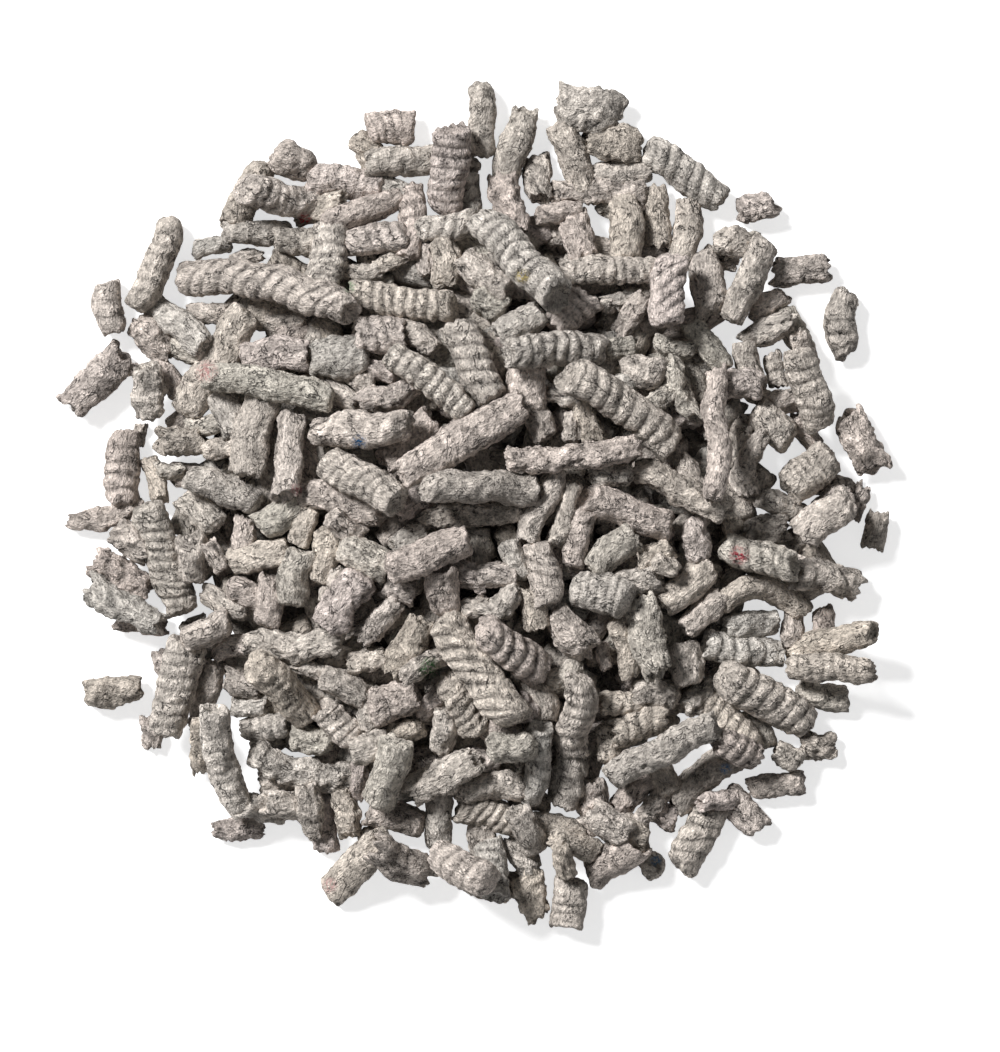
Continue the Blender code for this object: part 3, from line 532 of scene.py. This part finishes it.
def into_end(outwards, reach, length):
    """Nil along the body, then over `length` it rises to 1 at the end, as a square."""
    return np.clip((outwards - reach) / length + 1, 0, 1) ** 2


# %% The profile from end to end
def profile(pellet, reach, numbers, step, cap_rings):
    """Places along the rod and shares of its radius, from one end's middle to the other's.

    An end is part of a rounded square: with t from nil at its middle to a quarter turn at its
    shoulder, the share is sin(t) and the place cos(t), both to a power below one. The middle
    is then pushed in by the hollow. The body between runs straight, and narrows by the taper
    towards its ends.
    """
    turn = np.linspace(0, np.pi / 2, cap_rings + 1)
    ends = []
    for index in range(2):
        cap = min(numbers["cap"][index] * pellet.radius, 0.9 * reach)
        share = np.sin(turn) ** numbers["bluntness"][index]
        place = reach - cap + cap * np.cos(turn) ** numbers["bluntness"][index]
        place = place - numbers["hollow"][index] * pellet.radius * np.clip(1 - (share / 0.8) ** 2, 0, 1)
        ends.append((place, share, reach - cap))
    body_count = max(int(np.ceil((ends[0][2] + ends[1][2]) / step)), 3)
    body = np.linspace(-ends[0][2], ends[1][2], body_count + 1)[1:-1]
    places = np.concatenate([-ends[0][0], body, ends[1][0][::-1]])
    shares = np.concatenate([ends[0][1], np.ones(len(body)), ends[1][1][::-1]])
    for index, sign in ((0, -1), (1, 1)):
        narrowed = into_end(sign * places, reach, TAPERED * pellet.radius)
        shares = shares * (1 - numbers["taper"][index] * narrowed)
    return places, shares


# %% Ridges and relief
def ridge_way(chance, angle, s, radius, numbers):
    """How many ridges along a point lies: (s + a part askew + a part that wanders) / pitch."""
    askew = numbers["askew"] * radius * np.cos(angle)
    wander = 0.08 * numbers["pitch"] * waves(chance, angle, s, 3, 5 * MM)
    return (s + askew + wander) / numbers["pitch"] + chance.uniform(0, 3)


def relief_of(chance, angle, s, numbers):
    """Crumples that are sharp in their valleys and on their tops, flakes, cracks and fine creases."""
    crumple = np.abs(waves(chance, angle, s, 4, CRUMPLE_LENGTHS[0], 12))
    crumple = crumple - np.abs(waves(chance, angle, s, 6, CRUMPLE_LENGTHS[1], 12))
    flakes = np.tanh(5 * waves(chance, angle, s, 4, FLAKE_LENGTH))
    cracks = np.exp(-(waves(chance, angle, s, 5, CRACK_LENGTH, 14) / 0.14) ** 2)
    drawn = waves(chance, angle, s, 11, CREASE_LENGTHS[0], 16)
    fine = waves(chance, angle, s, 9, CREASE_LENGTHS[1], 16)
    return (numbers["crumple"] * crumple + numbers["flake"] * flakes - numbers["crack"] * cracks
            + CREASE * drawn + CREASE * fine)


def pinched(pellet, reach, numbers, chance, s, across, above):
    """The section squeezed towards the ends: one way x (1 + 0.4 pinch), the other x (1 - pinch)."""
    pinch = np.where(s > 0, numbers["pinch"][1], numbers["pinch"][0])
    pinch = pinch * into_end(np.abs(s), reach, TAPERED * pellet.radius)
    roll = chance.uniform(-0.8, 0.8)
    wide = (np.cos(roll) * across + np.sin(roll) * above) * (1 + 0.4 * pinch)
    flat = (np.cos(roll) * above - np.sin(roll) * across) * (1 - pinch)
    return np.cos(roll) * wide - np.sin(roll) * flat, np.sin(roll) * wide + np.cos(roll) * flat


# %% The whole skin
def frame_along(pellet, places):
    """At each place on the centre line: the middle, and the ways sideways, upward and onward."""
    lean = -2 * pellet.bow * places / pellet.reach ** 2
    flat = pellet.along + lean[:, None] * pellet.across
    flat = flat / np.linalg.norm(flat, axis=1, keepdims=True)
    steep = np.hypot(1, pellet.slope)
    middle = np.column_stack([pellet.plan(places), pellet.height + pellet.slope * places])
    sideways = np.column_stack([flat[:, 1], -flat[:, 0], np.zeros(len(places))])
    upward = np.column_stack([-flat * pellet.slope, np.ones(len(places))]) / steep
    onward = np.column_stack([flat, np.full(len(places), pellet.slope)]) / steep
    return [values[:, None, :] for values in (middle, sideways, upward, onward)]


def pellet_skin(pellet, seed, around, step):
    """A rod's points and attributes on its grid: centre line + profile x radius + relief.

    With them comes the source of its chance values, for what is still to be drawn.
    """
    chance = np.random.default_rng(seed)
    numbers = skin_numbers(pellet.surface, chance)
    if pellet.ridges_read:
        numbers["askew"], pitch_in_mm, numbers["ridges"] = pellet.ridges_read
        numbers["pitch"] = pitch_in_mm * MM
    reach = pellet.reach + (LENGTHENING_IN_BED if pellet.in_bed else LENGTHENING) * pellet.radius
    cap_rings = round(CAP_RINGS * around / AROUND)
    places, shares = profile(pellet, reach, numbers, step, cap_rings)
    angle = (np.arange(around) * 2 * np.pi / around)[None, :]
    s = places[:, None]
    share = shares[:, None]
    near_end = into_end(np.abs(s), reach, TORN * pellet.radius)

    way = ridge_way(chance, angle, s, pellet.radius, numbers)
    middle_of_ridges = np.pi * chance.uniform(0.35, 0.65)
    shown = 0.7 + 0.5 * np.cos(angle - middle_of_ridges) + 0.2 * waves(chance, angle, s, 1, 8 * MM)
    shown = numbers["ridges"] * np.clip(shown, 0.05, 1.2) * (1 - 0.8 * near_end)
    relief = relief_of(chance, angle, s, numbers)
    ridges = RIDGE_HEIGHT * shown * (np.abs(np.cos(np.pi * way)) ** RIDGE_SHARPNESS - 0.5)
    lumps = numbers["lump"] * waves(chance, angle, s, 2, 6 * MM)
    oval = OVAL * pellet.radius * np.cos(2 * angle + chance.uniform(0, 6))
    radius = share * (pellet.radius + oval + lumps + relief + ridges)

    right = s > 0
    slant = np.where(right, numbers["slant"][1], numbers["slant"][0])
    tongues = numbers["ragged"] * (1.2 * np.abs(waves(chance, angle, 0 * s, 6, 3 * MM)) - 0.7)
    dents = DENT * waves(chance, angle, 4 * share * pellet.radius, 2, 2 * MM)
    rim = tongues + slant * radius * np.cos(angle + 2 * slant)
    outward = np.where(right, 1, -1) * near_end * (share * rim + (1 - share ** 2) * dents)

    middle, sideways, upward, onward = frame_along(pellet, places)
    bend_side = BEND * waves(chance, 0, s, 0, 9 * MM, 3)
    bend_up = 0.5 * BEND * waves(chance, 0, s, 0, 9 * MM, 3)
    across, above = pinched(
        pellet, reach, numbers, chance, s, radius * np.cos(angle), FLATTENED * radius * np.sin(angle))
    across = across + bend_side
    above = above + bend_up
    points = (middle + outward[..., None] * onward + across[..., None] * sideways
              + above[..., None] * upward)
    points[..., 2] = np.maximum(points[..., 2], FLOOR_CLEARANCE)

    straight = np.stack([s + outward, radius * np.cos(angle), radius * np.sin(angle)], axis=-1)
    return {
        "points": points,
        "straight_place": straight + chance.uniform(0, 1, 3),
        "relief": (relief + ridges) / RELIEF_UNIT,
        "ridge_way": way,
        "ridge_share": shown + 0 * way,
    }, chance


# %% [markdown]
# ## From a grid to a mesh
# The grid's first and last rows are the middles of the ends, where all its points fall
# together, so each is one point with a fan of triangles. All else is squares. The arrays go
# into the mesh in one go, which is far quicker than adding faces one at a time.

# %% Closed grids as one mesh
def grid_faces(rows, columns, start):
    """Squares between neighbouring rows, and fans to one point before the first and after the last."""
    column = np.arange(columns)
    after = (column + 1) % columns
    ring = start + 1 + np.arange(rows - 1)[:, None] * columns
    squares = np.stack(
        [ring + column, ring + columns + column, ring + columns + after, ring + after], axis=-1)
    last = start + 1 + (rows - 1) * columns
    first_fan = np.stack([np.full(columns, start), start + 1 + column, start + 1 + after], axis=-1)
    last_fan = np.stack([np.full(columns, last + columns), last + after, last + column], axis=-1)
    return squares.reshape(-1, 4), np.concatenate([first_fan, last_fan])


def closed(values):
    """A grid's values as a list: the mean of its first row, the rows between, the mean of its last."""
    inner = values[1:-1].reshape(-1, *values.shape[2:])
    return np.concatenate([values[:1].mean(axis=1), inner, values[-1:].mean(axis=1)])


def add_object(name, data):
    """A new object in the scene."""
    made = bpy.data.objects.new(name, data)
    bpy.context.collection.objects.link(made)
    return made


def build_mesh(name, points, squares, triangles):
    """A smooth mesh from whole arrays of points, four-cornered faces and three-cornered ones."""
    mesh = bpy.data.meshes.new(name)
    mesh.vertices.add(len(points))
    mesh.vertices.foreach_set("co", points.astype(np.float32).ravel())
    corners = np.concatenate([squares.ravel(), triangles.ravel()])
    mesh.loops.add(len(corners))
    mesh.loops.foreach_set("vertex_index", corners.astype(np.int32))
    starts = np.concatenate([np.arange(len(squares)) * 4, squares.size + np.arange(len(triangles)) * 3])
    mesh.polygons.add(len(starts))
    mesh.polygons.foreach_set("loop_start", starts.astype(np.int32))
    mesh.polygons.foreach_set("use_smooth", np.ones(len(starts), dtype=bool))
    mesh.update(calc_edges=True)
    return mesh

# %% [markdown]
# ## The colour of the pulp
# The pulp is a warm grey, because printed and plain papers are mixed in it. Each rod is a
# little lighter, darker, pinker or greener than its neighbours, so each gets a colour of its
# own, as an attribute of its points. Here and there a shred of coloured paper shows. Those
# that the picture shows are listed with their places.

# %% Colours and how they vary
def linear(hex_colour):
    """A hex colour as linear red, green and blue: the usual sRGB curve undone."""
    value = np.array([int(hex_colour[start:start + 2], 16) for start in (1, 3, 5)]) / 255
    return np.where(value <= 0.04045, value / 12.92, ((value + 0.055) / 1.055) ** 2.4)


PULP_MIDDLE = linear("#DAD0C6")
PULP_TINTS = ("#DDCFC6", "#D9D2C6", "#D8D2CA", "#DCD0C2", "#DBCEC7")
TONE_SPREAD = 0.07
DARKEST_PULP, PALEST_PULP = 0.05, 0.9
# Painted shade: the share by which the hidden rods' pulp is darkened
HIDDEN_PAINTED_SHADE = 0.85
# Painted shade: the share by which the core's pulp is darkened
CORE_PAINTED_SHADE = 0.75

# x and y of the shred in the picture, its colour, and its width
SHREDS_PIXELS = (
    (305, 220, "#A8343C", 1.0), (738, 555, "#A03844", 1.4), (208, 372, "#BC908C", 1.6),
    (298, 490, "#B08484", 1.0), (330, 885, "#B89490", 1.2), (350, 288, "#6C8E68", 0.9),
    (430, 668, "#2F6A34", 1.6), (360, 443, "#2C5C88", 1.1), (656, 860, "#3C6C94", 0.9),
    (725, 768, "#44729C", 0.9), (522, 278, "#C0AC68", 1.0),
)


def shreds(points):
    """A colour and a cover for each point: the nearest shred's, fading out over its width."""
    colours = np.zeros((len(points), 4))
    for x, y, colour, width in SHREDS_PIXELS:
        apart = np.hypot(*(points[:, :2] - on_table((x, y))).T) / (width * MM)
        cover = np.clip(1.5 - apart, 0, 1)
        nearer = cover > colours[:, 3]
        colours[nearer, :3] = linear(colour)
        colours[nearer, 3] = cover[nearer]
    return colours


# %% [markdown]
# ## Paper pulp as a material
# Dried pulp is matt and rough: a felt of short fibres with small pits. Up close one sees
# pale fibres, dark pits and, in the grooves, a darker, browner tone. Here the pits, cracks and
# grooves are darkened as painted shade, and the felt and fibres are partly the pulp's own
# mottling and partly painted light and shade. The pits and fibres are 0.2 to 0.5 mm wide.
# Photographed paper could be laid over the rods instead, but a pattern made of nodes has no
# seams and stays sharp at every distance.
#
# The patterns are laid on each rod as if it were straight and lay apart from the others. So
# the fibres follow a bent rod, and no two rods share the same patch.

# %% Nodes of the pulp
def set_inputs(tree, node, inputs):
    """Links an input to a socket, or sets it to a value."""
    for name, value in inputs.items():
        if isinstance(value, bpy.types.NodeSocket):
            tree.links.new(value, node.inputs[name])
        else:
            node.inputs[name].default_value = value


def add_node(tree, kind, inputs, **settings):
    """Adds a node, and sets its properties and inputs."""
    node = tree.nodes.new(kind)
    for name, value in settings.items():
        setattr(node, name, value)
    set_inputs(tree, node, inputs)
    return node


FELT_WIDTH = 1.1 * MM
FIBRE_WIDTH = 0.20 * MM
PIT_WIDTH = 0.24 * MM
PATCH_WIDTH = 2.6 * MM
CRACK_SPACING = 1.6 * MM
CRACK_SHARE = 0.023
ALONG_SCALE = 0.62
PULP_SURFACE = {"Roughness": 0.95, "IOR": 1.5, "Specular IOR Level": 0.2}

# How deep each pattern reaches, in millimetres
RIDGE_DEPTH = 0.34
FELT_DEPTH = 1.7
FIBRE_DEPTH = 0.45
PIT_DEPTH = 0.4
CRACK_DEPTH = 0.30


def pulp_material(name, pit_painted_shade, groove_painted_shade):
    """Pressed recycled-paper pulp: matt, its own colour and patches, with painted shade in its grooves,
    pits and cracks, and painted light and shade over its relief, felt and fibres.
    """
    material = bpy.data.materials.new(name)
    material.use_nodes = True
    tree = material.node_tree
    shader = tree.nodes["Principled BSDF"]
    set_inputs(tree, shader, PULP_SURFACE)

    def read(attribute, output):
        """An attribute of the points."""
        return add_node(tree, "ShaderNodeAttribute", {}, attribute_name=attribute).outputs[output]

    def math(operation, first, second=0.0, third=0.0):
        """What one operation makes of up to three values."""
        inputs = {0: first, 1: second, 2: third}
        return add_node(tree, "ShaderNodeMath", inputs, operation=operation).outputs[0]

    def span(value, low, high, at_low, at_high):
        """A value's way from low to high, as the same way between two other values."""
        return add_node(tree, "ShaderNodeMapRange", {
            "Value": value, "From Min": low, "From Max": high,
            "To Min": at_low, "To Max": at_high}).outputs[0]

    def noise(vector, width, detail, roughness):
        """Clouds of chance values, each about as wide as given."""
        return add_node(tree, "ShaderNodeTexNoise", {
            "Vector": vector, "Scale": 0.5 / width, "Detail": detail, "Roughness": roughness,
            "Distortion": 0.3}).outputs["Fac"]

    place = read("straight_place", "Vector")
    drawn_out = add_node(tree, "ShaderNodeVectorMath", {
        0: place, 1: (ALONG_SCALE, 1, 1)}, operation="MULTIPLY").outputs[0]
    felt = noise(drawn_out, FELT_WIDTH, 5, 0.72)
    fibres = noise(drawn_out, FIBRE_WIDTH, 2, 0.6)
    pits = noise(place, PIT_WIDTH, 2, 0.6)
    patches = noise(place, PATCH_WIDTH, 2, 0.5)

    def cracks_along(vector, spacing, where):
        """1 on the thin lines where a noise passes a half, times a share for each place."""
        line = math("ABSOLUTE", math("SUBTRACT", noise(vector, spacing, 3, 0.6), 0.5))
        return math("MULTIPLY", span(line, 0, CRACK_SHARE, 1, 0), where)

    cracks = math(
        "MAXIMUM", cracks_along(drawn_out, CRACK_SPACING, span(patches, 0.52, 0.60, 0, 1)),
        cracks_along(place, 0.7 * CRACK_SPACING, span(patches, 0.40, 0.48, 1, 0)))

    groove = math("COSINE", math("MULTIPLY", read("ridge_way", "Fac"), np.pi))
    ridge = math("POWER", math("ABSOLUTE", groove), RIDGE_SHARPNESS)
    ridge_share = read("ridge_share", "Fac")
    relief = read("relief", "Fac")

    # Over each span, the colour goes from its third number to its fourth. Low relief, pits,
    # cracks and the ridges' grooves darken it as painted shade, and high relief lightens it as
    # painted light. The felt and fibres are partly the pulp's own mottling and partly painted
    # light and shade, lighter where their bump stands high. The patches are the pulp's own tone.
    light = span(relief, -0.9, 0.6, groove_painted_shade, 1.10)
    for factor in (
        span(felt, 0.38, 0.60, 0.66, 1.17),
        span(pits, 0.30, 0.46, pit_painted_shade, 1.05),
        span(fibres, 0.32, 0.68, 0.64, 1.28),
        span(patches, 0.3, 0.7, 0.92, 1.08),
        span(cracks, 0, 1, 1, 0.12),
        math("SUBTRACT", 1.04, math("MULTIPLY", ridge_share, span(ridge, 0, 0.7, 0.38, 0))),
    ):
        light = math("MULTIPLY", light, factor)
    lit = add_node(tree, "ShaderNodeVectorMath", {
        0: read("pulp_colour", "Color"), "Scale": light}, operation="SCALE").outputs[0]
    cover = math("MULTIPLY", read("shred", "Alpha"), span(pits, 0.42, 0.56, 0, 1))
    mixed = add_node(tree, "ShaderNodeMix", {
        "Factor": cover, "A": lit, "B": read("shred", "Color")}, data_type="RGBA")
    tree.links.new(mixed.outputs["Result"], shader.inputs["Base Color"])

    height = math("MULTIPLY", math("MULTIPLY", ridge, ridge_share), RIDGE_DEPTH)
    for pattern, depth in (
        (felt, FELT_DEPTH), (fibres, FIBRE_DEPTH), (pits, PIT_DEPTH), (cracks, -CRACK_DEPTH)
    ):
        height = math("MULTIPLY_ADD", pattern, depth, height)
    bump = add_node(tree, "ShaderNodeBump", {"Height": height, "Distance": MM, "Strength": 1.0})
    tree.links.new(bump.outputs["Normal"], shader.inputs["Normal"])
    return material


# The last two numbers are the painted shade at the bottom of the pits and of the grooves
pulps = {
    R: pulp_material("recycled_paper_pulp_pressed_ridged", 0.60, 0.55),
    S: pulp_material("recycled_paper_pulp_pressed_smooth", 0.58, 0.55),
    T: pulp_material("recycled_paper_pulp_torn", 0.50, 0.48),
    C: pulp_material("recycled_paper_pulp_crumbled", 0.50, 0.50),
}
print(len(pulps), "pulps, with pits of", PIT_WIDTH / MM, "mm and fibres of", FIBRE_WIDTH / MM, "mm")

# %% [markdown]
# ## The pieces
# Every free rod becomes one piece and replaces its node. The rods of the bed are one solid
# node in the model, so together they replace that one. They are kept as a few pieces, one
# for each surface, so that no mesh grows too large.

# %% Dress the pellets
def set_attribute(mesh, name, kind, values):
    """Puts one value for each point into the mesh under a name."""
    field = {"FLOAT": "value", "FLOAT_VECTOR": "vector", "FLOAT_COLOR": "color"}[kind]
    mesh.attributes.new(name, kind, "POINT").data.foreach_set(field, values.astype(np.float32).ravel())


def own_colour(chance):
    """The middle pulp colour, moved towards a chance tint and made lighter or darker."""
    tint = linear(PULP_TINTS[chance.integers(len(PULP_TINTS))])
    tone = 1 + TONE_SPREAD * chance.normal()
    mixed = PULP_MIDDLE + (tint - PULP_MIDDLE) * chance.uniform(0, 1)
    return np.append(np.clip(mixed * tone, DARKEST_PULP, PALEST_PULP), 1)


ATTRIBUTES = {
    "straight_place": "FLOAT_VECTOR", "relief": "FLOAT", "ridge_way": "FLOAT", "ridge_share": "FLOAT",
    "pulp_colour": "FLOAT_COLOR", "shred": "FLOAT_COLOR",
}


def add_piece(name, values, squares, triangles, surface, node):
    """A piece of pulp from its points and attributes, riding with the heap in place of its node."""
    mesh = build_mesh(name, values["points"], squares, triangles)
    for attribute, kind in ATTRIBUTES.items():
        set_attribute(mesh, attribute, kind, values[attribute])
    mesh.materials.append(pulps[surface])
    made = add_object(name, mesh)
    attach(made, "root")
    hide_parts(node)
    return made


def dress(name, pellets, surface, node, around=AROUND, shade=1.0):
    """One piece of the skins of some rods, their colour darkened by the painted shade when it is below 1.
    """
    skins, squares, triangles = [], [], []
    start = 0
    for pellet in pellets:
        seed = int(pellet.pixels[0] * 7 + pellet.pixels[1] * 1009)
        skin, chance = pellet_skin(pellet, seed, around, STEPS[pellet.surface] * AROUND / around)
        own_squares, own_triangles = grid_faces(len(skin["points"]) - 2, around, start)
        skin = {attribute: closed(values) for attribute, values in skin.items()}
        # The pulp colour times the painted shade
        colour = own_colour(chance) * [shade, shade, shade, 1]
        skin["pulp_colour"] = np.tile(colour, (len(skin["points"]), 1))
        skin["shred"] = shreds(skin["points"])
        skins.append(skin)
        squares.append(own_squares)
        triangles.append(own_triangles)
        start += len(skin["points"])
    values = {attribute: np.concatenate([skin[attribute] for skin in skins]) for attribute in skins[0]}
    return add_piece(
        name, values, np.concatenate(squares), np.concatenate(triangles), surface, node)


for number, ridges_read in enumerate(RIDGES_READ, 1):
    free_pellets[f"{R}_{number:02d}"].ridges_read = ridges_read

pieces = [
    dress(name + "_skin", [pellet], pellet.surface, name)
    for name, pellet in free_pellets.items()
]
for surface in (R, S, T, C):
    of_surface = [pellet for pellet in bed_pellets if pellet.surface == surface]
    for half, some in enumerate((of_surface[::2], of_surface[1::2]), 1):
        pieces.append(dress(f"bed_{surface}s_{half}", some, surface, "heap_bed"))
# The hidden rods get a painted shade that darkens their pulp
pieces.append(dress(
    "bed_hidden_pellets", strewn_pellets, S, "heap_bed", STREWN_AROUND, HIDDEN_PAINTED_SHADE))
triangle_counts = [len(piece.data.loops) - 2 * len(piece.data.polygons) for piece in pieces]
print(len(pieces), "pieces with", sum(triangle_counts), "triangles and at most", max(triangle_counts))

# %% [markdown]
# ## The middle of the heap
# Below the hidden rods lies more of the same, which no gap lets one see sharply. A lumpy
# dome of pulp fills it, well below the rods, so the gaps stay dark. Its pulp is darkened, and
# given a low relief value that the pulp darkens further, both as painted shade.

# %% The core
CORE_DEPTH = 6 * MM
CORE_AROUND = 96
CORE_RINGS = 40
CORE_LUMPS = 14
CORE_LUMP_HEIGHT = 0.35 * MM
CORE_RIM = 0.3 * MM
CORE_UNDERSIDE = 0.1 * MM
# A low relief value, which only darkens the core's pulp as painted shade
CORE_RELIEF_FOR_PAINTED_SHADE = -0.6
core_chance = np.random.default_rng(3)
core_radius = mound_radius * np.sqrt(1 - CORE_DEPTH / MOUND_HEIGHT)


def core_skin():
    """A bowl turned over: the mound's height less the core's depth, with lumps, on a flat base."""
    angle = (np.arange(CORE_AROUND) * 2 * np.pi / CORE_AROUND)[None, :]
    share = np.concatenate([np.linspace(0, 1, CORE_RINGS), [1.0, 0.0]])[:, None]
    out = share * core_radius
    x = out * np.cos(angle)
    y = out * np.sin(angle)
    lumps = sum(
        np.cos((x * np.cos(turn) + y * np.sin(turn)) * 2 * np.pi / (length * MM) + shift)
        for turn, length, shift in zip(*(
            core_chance.uniform(*limits, CORE_LUMPS) for limits in ((0, 6.3), (6, 14), (0, 6.3))))
    )
    bowl = MOUND_HEIGHT * (1 - (out / mound_radius) ** 2) - CORE_DEPTH
    z = np.maximum(bowl + CORE_LUMP_HEIGHT * lumps * (1 - share ** 4), CORE_RIM)
    z[-2:] = CORE_UNDERSIDE
    return np.stack([x, y, z], axis=-1)


core_grid = core_skin()
core_squares, core_triangles = grid_faces(len(core_grid) - 2, CORE_AROUND, 0)
core_points = closed(core_grid)
count = len(core_points)
# The core's pulp is darkened by a painted shade and by its low relief value
add_piece("bed_core", {
    "points": core_points,
    "straight_place": core_points,
    "relief": np.full(count, CORE_RELIEF_FOR_PAINTED_SHADE),
    "ridge_way": np.zeros(count),
    "ridge_share": np.zeros(count),
    "pulp_colour": np.tile(np.append(PULP_MIDDLE * CORE_PAINTED_SHADE, 1), (count, 1)),
    "shred": np.zeros((count, 4)),
}, core_squares, core_triangles, C, "heap_bed")
print("The core is", round(float(core_points[:, 2].max()) / MM, 1), "mm high")

# %% [markdown]
# ## Table, light and camera
# The heap lies on a white table that the picture shows as plain white. The table's own
# colour is nearly white, and it glows a little for the camera alone, so that it reads as
# white without throwing more light on the heap. A wide soft sun stands towards the top of
# the picture, and an even pale surround fills the shadows.

# %% The table
TABLE_HALF_WIDTH = 1.5
TABLE_GLOW = 0.66
table_mesh = bpy.data.meshes.new("table")
table_corners = [
    (x * TABLE_HALF_WIDTH, y * TABLE_HALF_WIDTH, 0) for x, y in ((-1, -1), (1, -1), (1, 1), (-1, 1))]
table_mesh.from_pydata(table_corners, [], [(0, 1, 2, 3)])
table = add_object("table", table_mesh)
table_paint = bpy.data.materials.new("white_matt_table")
table_paint.use_nodes = True
table_tree = table_paint.node_tree
table_shader = table_tree.nodes["Principled BSDF"]
set_inputs(table_tree, table_shader, {
    "Base Color": (*linear("#F2F2F2"), 1), "Roughness": 0.9, "Specular IOR Level": 0.1,
    "Emission Color": (1, 1, 1, 1)})
ray = add_node(table_tree, "ShaderNodeLightPath", {})
seen = add_node(table_tree, "ShaderNodeMath", {
    0: ray.outputs["Is Camera Ray"], 1: ray.outputs["Is Glossy Ray"]}, operation="ADD")
seen = add_node(table_tree, "ShaderNodeMath", {
    0: seen.outputs[0], 1: ray.outputs["Is Transmission Ray"]}, operation="ADD")
glow = add_node(table_tree, "ShaderNodeMath", {0: seen.outputs[0], 1: TABLE_GLOW}, operation="MULTIPLY")
table_tree.links.new(glow.outputs[0], table_shader.inputs["Emission Strength"])
table_mesh.materials.append(table_paint)
table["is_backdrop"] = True

# %% Sun and surround
SUN_STRENGTH = 4.7
SUN_ANGLE = np.radians(16)
SUN_HEIGHT = np.radians(43)
SUN_TURN = np.radians(138)
SURROUND = 0.165
sun_data = bpy.data.lights.new("window_light", "SUN")
sun_data.energy = SUN_STRENGTH
sun_data.angle = SUN_ANGLE
sun = add_object("window_light", sun_data)
sun.rotation_euler = (0, np.pi / 2 - SUN_HEIGHT, SUN_TURN)
world = bpy.data.worlds.new("pale_surround")
world.use_nodes = True
set_inputs(world.node_tree, world.node_tree.nodes["Background"], {
    "Color": (*linear("#FBFBFC"), 1), "Strength": SURROUND})
bpy.context.scene.world = world

# %% The camera, straight above
CAMERA_DISTANCE = 3.0
SENSOR = 36
picture_height = PICTURE_PIXELS[1] * metres_per_pixel
camera_data = bpy.data.cameras.new("camera")
camera_data.sensor_fit = "VERTICAL"
camera_data.sensor_height = SENSOR
camera_data.lens = SENSOR * CAMERA_DISTANCE / picture_height
camera = add_object("camera", camera_data)
camera.location = (
    (PICTURE_PIXELS[0] / 2 - HEAP_MIDDLE_PIXELS[0]) * metres_per_pixel,
    (HEAP_MIDDLE_PIXELS[1] - PICTURE_PIXELS[1] / 2) * metres_per_pixel,
    CAMERA_DISTANCE,
)
bpy.context.scene.camera = camera
bpy.context.scene.view_settings.view_transform = "Standard"
print(f"The camera looks down from {CAMERA_DISTANCE} m through a {camera_data.lens:.0f} mm lens")

# %% [markdown]
# ## Does it still have the model's size?
# The skins may stand a little proud of the model, so both boxes are written down.

# %% Print both boxes and finish
visual_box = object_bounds()
for name, box in (("Model", cad_box), ("Skins", visual_box)):
    print(name, [[round(v / MM, 1) for v in corner] for corner in box])
